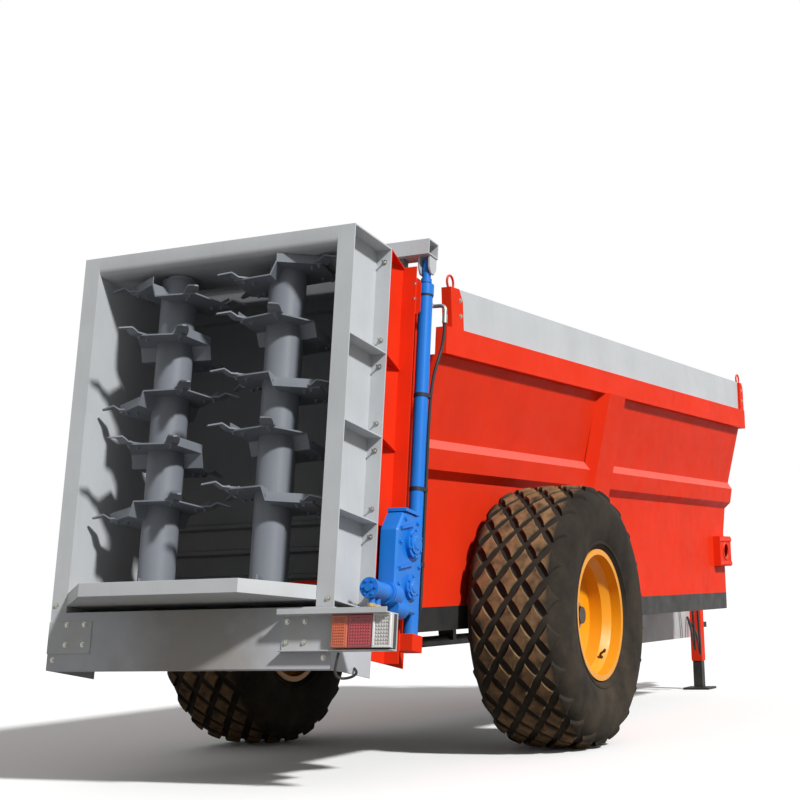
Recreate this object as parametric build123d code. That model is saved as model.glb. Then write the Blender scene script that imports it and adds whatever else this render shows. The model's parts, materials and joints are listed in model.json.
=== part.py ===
"""Fertilizer spreader: a single-axle trailer with a moving floor, a lifting door, two upright beaters
in a leaning rear frame and a drawbar. Millimetres, +X forward to the hitch, +Y left, +Z up."""

import os
from math import asin, cos, degrees, radians, sin, tan

from build123d import *

# Wheels
TYRE_R = 800.0
TYRE_W = 622.0
RIM_R = 398.0
BEAD_R = 375.0
RIM_T = 10.0
SEAT_GAP = 0.3
TREAD_T = 48.0
LUG_H = 26.0
LUG_L = 138.0
LUG_W = 136.0
LUG_COUNT = 17
LUG_SAG = 3.1
SIDEWALL_T = 32.0
WHEEL_GAP = 35.0
DISC_OUT = 20.0
DISC_T = 16.0
HUB_R = 90.0
HUB_OUT = 118.0
CAP_R = 52.0
CAP_OUT = 156.0
FLANGE_R = 170.0
DRUM_R = 205.0
DRUM_W = 90.0
SPINDLE_R = 40.0
SPINDLE_GAP = 0.5
AXLE_SIZE = 130.0

# Leaning rear frame: depth forward of its rear face, height along its lean
LEAN = 9.57
REAR_FOOT_X = -2513.0
APRON_Z = 609.0
FRAME_W = 1750.0
FRAME_H = 2330.0
APRON_H = 310.0
POST_D = 420.0
POST_FACE = 95.0
SHEET = 8.0
PILLAR_D = 310.0
PILLAR_LOW = 110.0
RIB_START = 340.0
RIB_PITCH = 463.0
RIB_COUNT = 4
TOP_BEAM_H = 107.0
CASE_GAP = 20.0
LINER_T = 6.0

# Beaters
BEATER_D = 210.0
BEATER_SHARE = 0.4564
TIP_SHARE = 0.92
FLIGHT_SHARE = 0.69
TUBE_R = 102.0
TUBE_T = 10.0
COLLAR_H = 80.0
BLADE_T = 8.0
PADDLE_DISC_T = 10.0
LEVEL_RISE = 525.0
LEVEL_HEAD = 28.0
LEVEL_OFFSET = 42.0
STEP_DOWN = 75.0
STEP_RUN = 30.0
KNIFE_W = 72.0
KNIFE_RISE = 22.0
FLANGE_H = 48.0
PADDLE_SHARE = 0.95
PADDLE_H = 85.0
PADDLE_TURN = 22.0
SPINDLE_BEATER_R = 45.0
TOP_PIN_R = 30.0
BEARING_GAP = 0.5
RUN_GAP = 12.0

# Spreading tray
TRAY_H = 345.0
TRAY_OUT = 284.0
TRAY_TAPER = 293.0
LIP_H = 72.0

# Lifting door and its cylinders
DOOR_BACK = 55.0
DOOR_T = 60.0
DOOR_GAP = 8.0
DOOR_LOW_Z = 1050.0
DOOR_RIB = 45.0
GUIDE_W = 45.0
LIFT_BEAM_GAP = 70.0
LIFT_BEAM_H = 90.0
LIFT_STROKE = 1450.0
CLEVIS_H = 100.0
CLEVIS_W = 84.0
CLEVIS_T = 12.0
NECK_R = 25.0
CYL_BACK = 70.0
CYL_OUT = 25.0
CYL_R = 40.0
CYL_BORE = 33.0
ROD_R = 20.0
ROD_GAP = 0.4
CYL_LOW = 270.0
CYL_HEAD = 160.0
SEAT_H = 90.0
HOSE_R = 9.0
HOSE_BOW = 45.0
HOSE_FALL = 220.0
HOSE_MEET = 480.0
HOSE_FOOT = 130.0

# Hopper
BODY_FRONT = 4772.0
DOOR_BAY = 225.0
SIDE_T = 6.0
SIDE_INSET = 140.0
RAIL_Z = 883.0
RAIL_LOW = 2304.0
RAIL_H = 158.0
RAIL_OVERHANG = 90.0
RAIL_W = 70.0
BOARD_H = 243.0
BOARD_T = 20.0
UPRIGHT_L = 160.0
UPRIGHT_W = 60.0
UPRIGHT_CUT = 45.0
UPRIGHT_X = -1166.0
BOARD_FRONT = 4700.0
POST_X = 1277.0
POST_L = 440.0
POST_OUT = 75.0
POST_FLANK = 60.0
RING_R = 41.0
RING_ROD = 7.0
FLOOR_TOP = 993.0
FLOOR_T = 8.0
BEARER_H = 52.0
FRONT_RISE = 138.0

# Moving floor
SHAFT_D = 665.0
CHAIN_IN = 33.0
CHAIN_T = 21.0
CHAIN_W = 40.0
CHAIN_Y = 380.0
SLAT_T = 20.0
SLAT_W = 50.0
SLAT_Y = 700.0
SLAT_COUNT = 11
SHAFT_R = 28.0
FRONT_SHAFT_X = 4590.0

# Chassis and drawbar
CHASSIS_H = 138.0
CHASSIS_W = 100.0
MEMBER_H = 60.0
MEMBER_W = 80.0
BEAM_Y = 80.0
BEAM_W = 80.0
BEAM_H = 270.0
BEAM_X = 2500.0
NOSE_X = 5900.0
HITCH_X = 6320.0
EYE_R = 65.0
EYE_BORE = 25.0
EYE_H = 50.0
HITCH_Z = 570.0
SHAFT_Z = 640.0
DRIVE_R = 35.0
STUB_R = 17.5
STUB_L = 80.0
STUB_X = 4900.0
JACK_X = 5560.0
JACK_SIZE = 100.0
JACK_T = 8.0
JACK_GAP = 0.5
JACK_LOW = 260.0
JACK_TOP = 880.0
JACK_STROKE = 150.0
FOOT_SIZE = 240.0
FOOT_T = 20.0

# Floor gearbox and its motor
GEAR_D = 455.0
GEAR_L = 290.0
GEAR_W = 100.0
GEAR_LOW = 362.0
GEAR_H = 530.0
MOTOR_R = 46.0
MOTOR_L = 190.0
MOTOR_H = 440.0
# Round covers: share of the box height, radius, how far they stand out
GEAR_CAPS = ((0.26, 66.0, 18.0), (0.70, 80.0, 22.0))
GEAR_WEBS = (0.40, 0.80)

# Lamps
LAMP_OUT = 25.0
LAMP_W = 335.0
LAMP_H = 165.0
LAMP_D = 60.0
LAMP_LOW = 95.0
BRACKET_IN = 283.0
BRACKET_T = 6.0
HOOD_D = 96.0
HOOD_LIP = 28.0

# Side step
STEP_X = 4450.0
STEP_L = 320.0
STEP_Z = 1110.0
STEP_H = 255.0
STEP_OUT = 62.0
TOOTH = 16.0
TOOTH_COUNT = 7

WEB_Y = FRAME_W / 2 - POST_FACE
WEB_IN = WEB_Y - LINER_T
PILLAR_END = POST_D + PILLAR_D
LOW_Y = FRAME_W / 2 - SIDE_INSET
RAIL_OUT_Y = FRAME_W / 2 + RAIL_OVERHANG
RAIL_TOP = RAIL_LOW + RAIL_H
BOARD_TOP = RAIL_TOP + BOARD_H
FRONT_TOP = RAIL_TOP + FRONT_RISE

# Hopper side, outer face: half width, height
SIDE_SECTION = (
    (LOW_Y, RAIL_Z),
    (LOW_Y, 1400.0),
    (LOW_Y + 23.0, 1612.0),
    (LOW_Y + 76.0, 1660.0),
    (LOW_Y + 96.0, 1778.0),
    (LOW_Y + 63.0, 1833.0),
    (RAIL_OUT_Y - 49.0, RAIL_LOW),
)
# Tyre section: share of the way from bead to crown, share of half the width
TYRE_SECTION = (
    (0.00, 0.84),
    (0.30, 1.00),
    (0.68, 1.00),
    (1.00, 0.83),
)
# Cross members of the chassis: distance ahead of the axle
MEMBER_X = (-1150.0, 620.0, 2700.0, 3700.0)
# Cross bearers under the hopper floor: distance ahead of the axle
BEARER_X = (-1300.0, -500.0, 400.0, 1300.0, 2200.0, 3100.0, 4000.0)
# Lens sections from the middle of the machine outwards: name, share of the lamp's width
LENSES = (("lens_amber", 0.0, 0.28), ("lens_red", 0.28, 0.70), ("lens_clear", 0.70, 1.0))
# Turn of the stepped flight at each level of the left beater, from the tray upwards
LEVEL_TURNS = (168.0, 101.0, 168.0, 101.0, -12.0)
# Tread columns: share of half the tyre's width, stagger in half pitches
LUG_COLUMNS = ((-0.60, 0), (-0.30, 1), (0.0, 0), (0.30, 1), (0.60, 0))

# Turn of the tread that puts a block's corner on the ground
LUG_LEAD = degrees(asin(LUG_L / 2 / TYRE_R))
SIN = sin(radians(LEAN))
COS = cos(radians(LEAN))
FAR = 12000.0
DOOR_D = PILLAR_END + DOOR_BACK
CYL_D = PILLAR_END + CYL_BACK
END_D = PILLAR_END + DOOR_BAY
CYL_Y = FRAME_W / 2 + CYL_OUT
LAMP_Y = FRAME_W / 2 + LAMP_OUT
BRACKET_Y = FRAME_W / 2 - BRACKET_IN
TRAY_CORNER_Y = WEB_Y - TRAY_TAPER
BEATER_Y = BEATER_SHARE * WEB_Y
TIP_R = TIP_SHARE * (WEB_Y - BEATER_Y)
FLIGHT_R = FLIGHT_SHARE * TIP_R
PADDLE_R = PADDLE_SHARE * TIP_R
LIFT_BEAM_LOW = FRAME_H + LIFT_BEAM_GAP
CYL_TOP = LIFT_BEAM_LOW - CYL_HEAD
WHEEL_Y = LOW_Y + WHEEL_GAP + TYRE_W / 2
SHAFT_AXIS_Z = FLOOR_TOP - CHAIN_IN
CHAIN_OUT = CHAIN_IN + CHAIN_T
BEAM_TOP = RAIL_Z - CHASSIS_H
TOP_BEAM_LOW = FRAME_H - TOP_BEAM_H
DISC_LOW = TRAY_H + SHEET + RUN_GAP
TUBE_LOW = DISC_LOW + PADDLE_DISC_T
TUBE_TOP = TOP_BEAM_LOW - RUN_GAP - 10.0
LEVEL_START = TUBE_LOW + LEVEL_RISE
LEVEL_PITCH = (TUBE_TOP - LEVEL_HEAD - LEVEL_OFFSET - LEVEL_START) / (len(LEVEL_TURNS) - 1)
LEANING = Location((REAR_FOOT_X, 0, APRON_Z), (0, LEAN, 0))


def lean_height(depth, z):
    """Height along the lean of a point at this depth and height above ground."""
    return (z - APRON_Z + depth * SIN) / COS


def world_x(depth, height):
    """Distance ahead of the axle of a point of the leaning frame."""
    return REAR_FOOT_X + depth * COS + height * SIN


def world_z(depth, height):
    """Height above ground of a point of the leaning frame."""
    return APRON_Z + height * COS - depth * SIN


SHAFT_H = lean_height(SHAFT_D, SHAFT_AXIS_Z)
REAR_SHAFT_X = world_x(SHAFT_D, SHAFT_H)
DOOR_LOW = lean_height(DOOR_D, DOOR_LOW_Z)
REAR_TIP = min(world_x(-TRAY_OUT, TRAY_H), world_x(-HOOD_D, LAMP_LOW))
FRONT_TIP = HITCH_X + EYE_R
SHIFT = -(REAR_TIP + FRONT_TIP) / 2


def block(x, y, z):
    """Box between low and high values along X, Y and Z."""
    middle = Pos((x[0] + x[1]) / 2, (y[0] + y[1]) / 2, (z[0] + z[1]) / 2)
    return middle * Box(x[1] - x[0], y[1] - y[0], z[1] - z[0])


def bar_x(radius, x, y, z):
    return Pos((x[0] + x[1]) / 2, y, z) * Rot(0, 90, 0) * Cylinder(radius, x[1] - x[0])


def bar_y(radius, x, y, z):
    return Pos(x, (y[0] + y[1]) / 2, z) * Rot(90, 0, 0) * Cylinder(radius, y[1] - y[0])


def bar_z(radius, x, y, z):
    return Pos(x, y, (z[0] + z[1]) / 2) * Cylinder(radius, z[1] - z[0])


def profile_x(points, x):
    """Outline of (y, z) points drawn out along X."""
    face = Plane.YZ * Polygon(*points, align=None)
    return Pos(x[0], 0, 0) * extrude(face, amount=x[1] - x[0], dir=(1, 0, 0))


def profile_y(points, y):
    """Outline of (x, z) points drawn out along Y."""
    face = Plane.XZ * Polygon(*points, align=None)
    return Pos(0, y[0], 0) * extrude(face, amount=y[1] - y[0], dir=(0, 1, 0))


def profile_z(points, z):
    """Outline of (x, y) points drawn out along Z."""
    face = Polygon(*points, align=None)
    return Pos(0, 0, z[0]) * extrude(face, amount=z[1] - z[0], dir=(0, 0, 1))


def turned(points):
    """Outline of (radius, offset) points turned about the wheel's axis."""
    return revolve(Polygon(*points, align=None), Axis.Y)


def right(shape):
    return mirror(shape, about=Plane.XZ)


def behind(depth):
    """Everything to the rear of a depth in the leaning frame."""
    return LEANING * block((depth - FAR, depth), (-FAR, FAR), (-FAR, FAR))


def slab(depth, thick):
    return LEANING * block((depth, depth + thick), (-FAR, FAR), (-FAR, FAR))


def tyre():
    """Carcass of flat-faced segments with staggered tread blocks standing on it."""
    bead = BEAD_R + SEAT_GAP
    low = RIM_R + 4.0
    outer = [(TYRE_SECTION[0][1] * TYRE_W / 2, bead)]
    outer += [(w * TYRE_W / 2, low + f * (TYRE_R - LUG_H - low)) for f, w in TYRE_SECTION]
    wide = TYRE_W / 2 - SIDEWALL_T
    deep = TYRE_R - TREAD_T
    inner = [(TYRE_SECTION[0][1] * wide, bead), (wide, (bead + deep) / 2)]
    inner.append((TYRE_SECTION[-1][1] * wide, deep))
    section = outer + [(-o, r) for o, r in reversed(outer)]
    section += [(-o, r) for o, r in inner] + list(reversed(inner))
    pitch = 360.0 / LUG_COUNT
    reach = 1.2 * TYRE_R
    half = reach * tan(radians(pitch / 4))
    wedge = profile_y([(0, 0), (half, reach), (-half, reach)], (-TYRE_W, TYRE_W))
    segment = profile_x(section, (-half, half)) & wedge
    found = [Rot(0, pitch / 2 * i, 0) * segment for i in range(2 * LUG_COUNT)]
    block_shape = lug()
    for share, stagger in LUG_COLUMNS:
        place = Pos(0, share * TYRE_W / 2, TYRE_R - LUG_H)
        for i in range(LUG_COUNT):
            found.append(Rot(0, pitch * (i + stagger / 2), 0) * place * block_shape)
    return Rot(0, LUG_LEAD, 0) * found[0].fuse(*found[1:])


def lug():
    """Diamond tread block standing on the carcass."""
    points = [(LUG_L / 2, 0), (0, LUG_W / 2), (-LUG_L / 2, 0), (0, -LUG_W / 2)]
    return profile_z(points, (-LUG_H / 2, LUG_H - LUG_SAG))


def rim():
    flange = TYRE_SECTION[0][1] * TYRE_W / 2 + SEAT_GAP
    seat = flange - 60.0
    well = seat - 50.0
    well_r = BEAD_R - 35.0
    upper = [(RIM_R, flange), (BEAD_R, flange), (BEAD_R, seat), (well_r, well)]
    lower = [
        (RIM_R, flange + RIM_T),
        (BEAD_R - RIM_T, flange + RIM_T),
        (BEAD_R - RIM_T, seat + RIM_T / 2),
        (well_r - RIM_T, well + RIM_T / 2),
    ]
    outline = upper + [(r, -o) for r, o in reversed(upper)]
    outline += [(r, -o) for r, o in lower] + list(reversed(lower))
    edge = well_r - RIM_T / 2
    disc = [
        (HUB_R + 2 * SEAT_GAP, DISC_OUT),
        (FLANGE_R + 40.0, DISC_OUT),
        (edge, DISC_OUT + 40.0),
        (edge, DISC_OUT + 40.0 + DISC_T),
        (FLANGE_R + 36.0, DISC_OUT + DISC_T),
        (HUB_R + 2 * SEAT_GAP, DISC_OUT + DISC_T),
    ]
    return turned(outline) + turned(disc)


def hub():
    bore = SPINDLE_R + SPINDLE_GAP
    drum = DISC_OUT - DISC_T - 150.0
    return turned(
        [
            (bore, drum - DRUM_W),
            (DRUM_R, drum - DRUM_W),
            (DRUM_R, drum),
            (HUB_R, drum),
            (HUB_R, DISC_OUT - DISC_T),
            (FLANGE_R, DISC_OUT - DISC_T),
            (FLANGE_R, DISC_OUT),
            (HUB_R, DISC_OUT),
            (HUB_R, HUB_OUT),
            (CAP_R, HUB_OUT),
            (CAP_R, CAP_OUT),
            (0, CAP_OUT),
            (0, HUB_OUT - 6.0),
            (bore, HUB_OUT - 6.0),
        ]
    )


def axle_beam():
    half = AXLE_SIZE / 2
    plate = WHEEL_Y + DISC_OUT - DISC_T - 150.0 - DRUM_W - 10.0
    shape = block((-half, half), (-plate, plate), (TYRE_R - half, TYRE_R + half))
    end = WHEEL_Y + HUB_OUT - 8.0
    shape += bar_y(SPINDLE_R, 0, (-end, end), TYRE_R)
    for side in (1, -1):
        shape += bar_y(DRUM_R, 0, sorted((side * (plate - 15.0), side * plate)), TYRE_R)
    return shape


def chassis_frame():
    low = BEAM_TOP
    inner = LOW_Y - CHASSIS_W
    rail = block((REAR_FOOT_X, BODY_FRONT), (inner, LOW_Y), (low, RAIL_Z))
    rail -= block((REAR_FOOT_X, BODY_FRONT), (inner, LOW_Y - SHEET), (low + SHEET, RAIL_Z - SHEET))
    rail -= behind(POST_D + 10.0)
    shape = rail + right(rail)
    for x in MEMBER_X:
        shape += block((x, x + MEMBER_W), (-inner - SHEET, inner + SHEET), (low, low + MEMBER_H))
    shape += block((BODY_FRONT - MEMBER_W, BODY_FRONT), (-inner - SHEET, inner + SHEET), (low, RAIL_Z))
    sill = lean_height(PILLAR_END, low) - 40.0
    shape += LEANING * block((POST_D + 10.0, PILLAR_END - 20.0), (-WEB_Y, WEB_Y), (sill, sill + 75.0))
    half = AXLE_SIZE / 2
    shape -= block((-half, half), (-FAR, FAR), (TYRE_R - half, TYRE_R + half))
    return shape


def drawbar():
    z = (BEAM_TOP - BEAM_H, BEAM_TOP)
    beam = block((BEAM_X, NOSE_X), (BEAM_Y, BEAM_Y + BEAM_W), z)
    hollow = (BEAM_Y + SHEET, BEAM_Y + BEAM_W - SHEET)
    beam -= block((BEAM_X, NOSE_X - SHEET), hollow, (z[0] + SHEET, z[1] - SHEET))
    wide = BEAM_Y + BEAM_W
    nose = profile_z(
        [(NOSE_X - 60.0, wide), (NOSE_X, wide), (HITCH_X - 170.0, 60.0), (HITCH_X - 170.0, -60.0)]
        + [(NOSE_X, -wide), (NOSE_X - 60.0, -wide)],
        (HITCH_Z - 50.0, HITCH_Z + 50.0),
    )
    nose -= block((NOSE_X - 60.0, NOSE_X), (BEAM_Y, wide), (0, FAR))
    nose -= block((NOSE_X - 60.0, NOSE_X), (-wide, -BEAM_Y), (0, FAR))
    return beam + right(beam) + nose


def hitch_eye():
    shape = bar_x(0.44 * EYE_H, (HITCH_X - 170.0, HITCH_X - EYE_BORE - 8.0), 0, HITCH_Z)
    shape += bar_z(EYE_R, HITCH_X, 0, (HITCH_Z - EYE_H / 2, HITCH_Z + EYE_H / 2))
    return shape - bar_z(EYE_BORE, HITCH_X, 0, (HITCH_Z - EYE_H, HITCH_Z + EYE_H))


def jack_y():
    return -(BEAM_Y + BEAM_W + JACK_SIZE / 2)


def jack_tube():
    half = JACK_SIZE / 2
    hole = half - JACK_T
    x, y = JACK_X, jack_y()
    shape = block((x - half, x + half), (y - half, y + half), (JACK_LOW, JACK_TOP))
    shape -= block((x - hole, x + hole), (y - hole, y + hole), (JACK_LOW, JACK_TOP - JACK_T))
    shape += bar_z(22.0, x, y, (JACK_TOP, JACK_TOP + 40.0))
    shape += block((x - 120.0, x + 15.0), (y - 8.0, y + 8.0), (JACK_TOP + 40.0, JACK_TOP + 54.0))
    return shape + bar_z(12.0, x - 110.0, y, (JACK_TOP + 54.0, JACK_TOP + 150.0))


def jack_leg():
    half = JACK_SIZE / 2 - JACK_T - JACK_GAP
    foot = FOOT_SIZE / 2
    x, y = JACK_X, jack_y()
    top = JACK_TOP - JACK_T - JACK_STROKE - 20.0
    shape = block((x - half, x + half), (y - half, y + half), (FOOT_T, top))
    return shape + block((x - foot, x + foot), (y - foot, y + foot), (0, FOOT_T))


def side_wall():
    outer = list(SIDE_SECTION)
    inner = [(y - SIDE_T, z) for y, z in reversed(outer)]
    x = (REAR_FOOT_X, BODY_FRONT)
    sheet = profile_x(outer + inner, x) - behind(END_D)
    frame_y = LOW_Y - SIDE_T
    region = profile_x(outer + [(frame_y, RAIL_LOW), (frame_y, RAIL_Z)], x)
    region += block(x, (frame_y, WEB_Y + SHEET), (RAIL_Z, RAIL_LOW))
    sheet += region & slab(END_D, SHEET)
    return sheet + (hat(0) - hat(SIDE_T))


def hat(inset):
    """Post on the hopper side, or with an inset the hollow inside it."""
    faces = []
    low = SIDE_SECTION[0][1] - (inset and 1.0)
    rows = [(SIDE_SECTION[0][0], low)] + [SIDE_SECTION[i] for i in (1, 2, 6)]
    for y, z in rows:
        a, b = POST_X + inset * 1.4, POST_X + POST_L - inset * 1.4
        out = y + POST_OUT - inset
        base = y + (0.0 if inset else -SIDE_T / 2)
        outline = [(a, base), (b, base), (b - POST_FLANK, out), (a + POST_FLANK, out)]
        faces.append(Pos(0, 0, z - (inset if z == RAIL_LOW else 0)) * Polygon(*outline, align=None))
    return loft(faces, ruled=True)


def front_wall():
    inner = [(y - SIDE_T, z) for y, z in SIDE_SECTION]
    top = [(RAIL_OUT_Y - RAIL_W, RAIL_LOW), (RAIL_OUT_Y - RAIL_W, FRONT_TOP)]
    half = inner + top
    outline = half + [(-y, z) for y, z in reversed(half)]
    x = (BODY_FRONT - SHEET, BODY_FRONT)
    wall = profile_x(outline, x)
    wide = RAIL_OUT_Y - RAIL_W - 150.0
    window = (SIDE_SECTION[5][1] + 150.0, FRONT_TOP - 110.0)
    wall -= block(x, (-wide, wide), window)
    count = 14
    for i in range(1, count):
        y = -wide + 2 * wide * i / count
        wall += block(x, (y - 5.0, y + 5.0), window)
    for y in (-0.4 * LOW_Y, 0.4 * LOW_Y):
        wall += block((BODY_FRONT, BODY_FRONT + 60.0), (y - 40.0, y + 40.0), (RAIL_Z, FRONT_TOP))
    return wall + block((BODY_FRONT, BODY_FRONT + 60.0), (-wide, wide), (window[0] - 80.0, window[0]))


def top_rail():
    y = (RAIL_OUT_Y - RAIL_W, RAIL_OUT_Y)
    x = (REAR_FOOT_X, BODY_FRONT + 48.0)
    solid = block(x, y, (RAIL_LOW, RAIL_TOP))
    hollow = block(x, (y[0] + SIDE_T, y[1] - SIDE_T), (RAIL_LOW + SIDE_T, RAIL_TOP - SIDE_T))
    rail = solid - hollow - behind(END_D)
    rail += solid & slab(END_D, SHEET)
    for a, b in ((UPRIGHT_X, UPRIGHT_X + UPRIGHT_L), (BOARD_FRONT, BODY_FRONT + 28.0)):
        top = BOARD_TOP - 7.0
        cut = min(UPRIGHT_CUT, (b - a) / 3)
        outline = [(a, RAIL_TOP), (b, RAIL_TOP), (b, top - 1.6 * cut), (b - cut, top), (a, top)]
        rail += profile_y(outline, (RAIL_OUT_Y - UPRIGHT_W, RAIL_OUT_Y))
        ring = Rot(90, 0, 0) * Torus(RING_R, RING_ROD)
        x = max((a + b - cut) / 2, a + RING_R + RING_ROD)
        rail += Pos(x, RAIL_OUT_Y - UPRIGHT_W / 2, top + RING_R - RING_ROD) * ring
    return rail


def top_board():
    y = RAIL_OUT_Y - UPRIGHT_W / 2
    x = (UPRIGHT_X + UPRIGHT_L, BOARD_FRONT)
    return block(x, (y - BOARD_T / 2, y + BOARD_T / 2), (RAIL_TOP, BOARD_TOP))


def hopper_floor():
    wide = LOW_Y - SIDE_T
    low = FLOOR_TOP - FLOOR_T
    x = (REAR_SHAFT_X + SHAFT_R + 20.0, FRONT_SHAFT_X - SHAFT_R - 20.0)
    shape = block(x, (-wide, wide), (low, FLOOR_TOP))
    for a in BEARER_X:
        shape += block((a, a + 60.0), (-wide, wide), (low - BEARER_H, low))
    return shape


def chain_loop(reach, band):
    """Solid run of a chain round both shafts, with flat-sided ends."""
    corner = reach / cos(radians(22.5))
    turns = [radians(a) for a in (-67.5, -22.5, 22.5, 67.5)]
    ends = [(corner * cos(a), corner * sin(a)) for a in turns]
    outline = [(FRONT_SHAFT_X + x, SHAFT_AXIS_Z + z) for x, z in ends]
    outline += [(REAR_SHAFT_X - x, SHAFT_AXIS_Z + z) for x, z in reversed(ends)]
    return profile_y(outline, band)


def floor_conveyor():
    rear, front, z = REAR_SHAFT_X, FRONT_SHAFT_X, SHAFT_AXIS_Z
    shape = None
    for y in (-CHAIN_Y, CHAIN_Y):
        band = (y - CHAIN_W / 2, y + CHAIN_W / 2)
        loop = chain_loop(CHAIN_OUT, band) - chain_loop(CHAIN_IN, band)
        shape = loop if shape is None else shape + loop
    pitch = (front - rear) / SLAT_COUNT
    for i in range(SLAT_COUNT):
        x = rear + pitch * (i + 0.5)
        span = (x - SLAT_W / 2, x + SLAT_W / 2)
        shape += block(span, (-SLAT_Y, SLAT_Y), (z + CHAIN_OUT, z + CHAIN_OUT + SLAT_T))
        shape += block(span, (-SLAT_Y, SLAT_Y), (z - CHAIN_OUT - SLAT_T, z - CHAIN_OUT))
    return shape


def conveyor_shafts():
    z = SHAFT_AXIS_Z
    edge = WEB_Y + SHEET
    rear = bar_y(SHAFT_R, REAR_SHAFT_X, (-FRAME_W / 2, edge + 60.0), z)
    rear += bar_y(SHAFT_R + 22.0, REAR_SHAFT_X, (edge, edge + 40.0), z)
    inner = LOW_Y - SIDE_T
    front = bar_y(SHAFT_R, FRONT_SHAFT_X, (-inner, inner), z)
    for y in (-CHAIN_Y, CHAIN_Y):
        band = (y - CHAIN_W / 2, y + CHAIN_W / 2)
        rear += bar_y(CHAIN_IN - SEAT_GAP, REAR_SHAFT_X, band, z)
        front += bar_y(CHAIN_IN - SEAT_GAP, FRONT_SHAFT_X, band, z)
    return rear + front


def rib_heights():
    return [RIB_START + RIB_PITCH * i for i in range(RIB_COUNT)] + [FRAME_H - SHEET]


def beater_post():
    outer = FRAME_W / 2
    z = (APRON_H, FRAME_H)
    shape = block((0, POST_D), (WEB_Y, WEB_Y + SHEET), z)
    shape += block((0, SHEET), (WEB_Y, outer), z)
    shape += block((POST_D - SHEET, POST_D), (WEB_Y, outer), z)
    for height in rib_heights():
        shape += block((0, POST_D), (WEB_Y, outer), (height, height + SHEET))
    shape += block((0, PILLAR_END), (WEB_IN, WEB_Y), z)
    shape -= bar_y(SHAFT_R + 2.0, SHAFT_D, (WEB_IN, WEB_Y), SHAFT_H)
    return LEANING * shape


def pillar():
    outer = FRAME_W / 2
    z = (PILLAR_LOW, FRAME_H)
    shape = block((POST_D, END_D), (WEB_Y, WEB_Y + SHEET), z)
    shape += block((POST_D, POST_D + SHEET), (WEB_Y, outer), z)
    shape += block((PILLAR_END - SHEET, PILLAR_END), (WEB_Y, outer), z)
    for height in rib_heights():
        corner = [(POST_D, WEB_Y), (POST_D, outer), (PILLAR_END, WEB_Y + 2 * SHEET), (PILLAR_END, WEB_Y)]
        shape += profile_z(corner, (height, height + SHEET))
    seat = (CYL_Y - 50.0, CYL_Y + 50.0)
    shape += block((PILLAR_END, CYL_D + CYL_R + 8.0), seat, (CYL_LOW - SEAT_H, CYL_LOW))
    high = FRAME_H - 30.0
    ear = [(outer - 40.0, high - 250.0), (outer + 14.0, high - 250.0), (outer + 28.0, high - 236.0)]
    ear += [(outer + 28.0, high - 70.0), (outer - 40.0, high)]
    shape += profile_x(ear, (PILLAR_END, PILLAR_END + SHEET))
    face = DOOR_D - DOOR_T / 2 - DOOR_GAP
    back = DOOR_D + DOOR_T / 2 + DOOR_GAP
    for depth in (face - 12.0, back):
        shape += block((depth, depth + 12.0), (WEB_Y - GUIDE_W, WEB_Y), (DOOR_LOW, FRAME_H))
    shape -= bar_y(SHAFT_R + 2.0, SHAFT_D, (WEB_Y - FAR, WEB_Y + SHEET), SHAFT_H)
    return LEANING * shape


def beater_top_beam():
    corner = 40.0
    angles = [radians(a) for a in (90.0, 60.0, 30.0, 0.0)]
    bend = [(corner * (1 - sin(a)), corner * (1 - cos(a))) for a in angles]
    x, z = (0, POST_D), (TOP_BEAM_LOW, FRAME_H)
    outer = [(x[1], z[0]), (x[1], z[1]), (x[0], z[1])] + [(a, z[0] + b) for a, b in bend]
    inner = [(x[1] - SHEET, z[0] + SHEET), (x[1] - SHEET, z[1] - SHEET), (x[0] + SHEET, z[1] - SHEET)]
    inner += [(a + SHEET, z[0] + b + SHEET) for a, b in bend]
    shape = profile_y(outer, (-WEB_IN, WEB_IN)) - profile_y(inner, (-WEB_IN, WEB_IN))
    shape += block((POST_D, PILLAR_END), (-WEB_IN, WEB_IN), (FRAME_H - SHEET, FRAME_H))
    for y in (-BEATER_Y, BEATER_Y):
        shape += bar_z(70.0, BEATER_D, y, (TUBE_TOP + RUN_GAP / 2, TOP_BEAM_LOW))
        shape -= bar_z(TOP_PIN_R + BEARING_GAP, BEATER_D, y, (TUBE_TOP, TOP_BEAM_LOW))
    return LEANING * shape


def rear_apron():
    outer = FRAME_W / 2
    shape = block((0, 12.0), (-outer, outer), (0, APRON_H))
    for y in ((outer - SHEET, outer), (-outer, SHEET - outer)):
        shape += block((0, POST_D), y, (0, APRON_H))
    shape += block((0, 60.0), (-outer, outer), (0, SHEET))
    return LEANING * shape


def beater_case():
    top = APRON_H - CASE_GAP
    depth = (12.0, POST_D - CASE_GAP)
    wide = FRAME_W / 2 - SHEET
    shape = block(depth, (-wide, wide), (60.0, top))
    shape -= block((depth[0] + 12.0, depth[1] - 12.0), (12.0 - wide, wide - 12.0), (60.0, top - 40.0))
    for y in (-BEATER_Y, BEATER_Y):
        shape += bar_z(85.0, BEATER_D, y, (top, TRAY_H))
        shape -= bar_z(SPINDLE_BEATER_R + BEARING_GAP, BEATER_D, y, (top - 40.0, TRAY_H))
    return LEANING * shape


def spreading_tray():
    corner = [(-TRAY_OUT, TRAY_CORNER_Y), (0, WEB_IN), (POST_D, WEB_IN)]
    outline = corner + [(x, -y) for x, y in reversed(corner)]
    shape = profile_z(outline, (TRAY_H, TRAY_H + SHEET))
    lip = profile_z(outline, (TRAY_H, TRAY_H + LIP_H))
    lip -= Pos(SHEET, 0, 0) * lip
    shape += lip & block((-FAR, 0), (-FAR, FAR), (0, FAR))
    for y in (-BEATER_Y, BEATER_Y):
        shape -= bar_z(60.0, BEATER_D, y, (TRAY_H, TRAY_H + SHEET))
    return LEANING * shape


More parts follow.
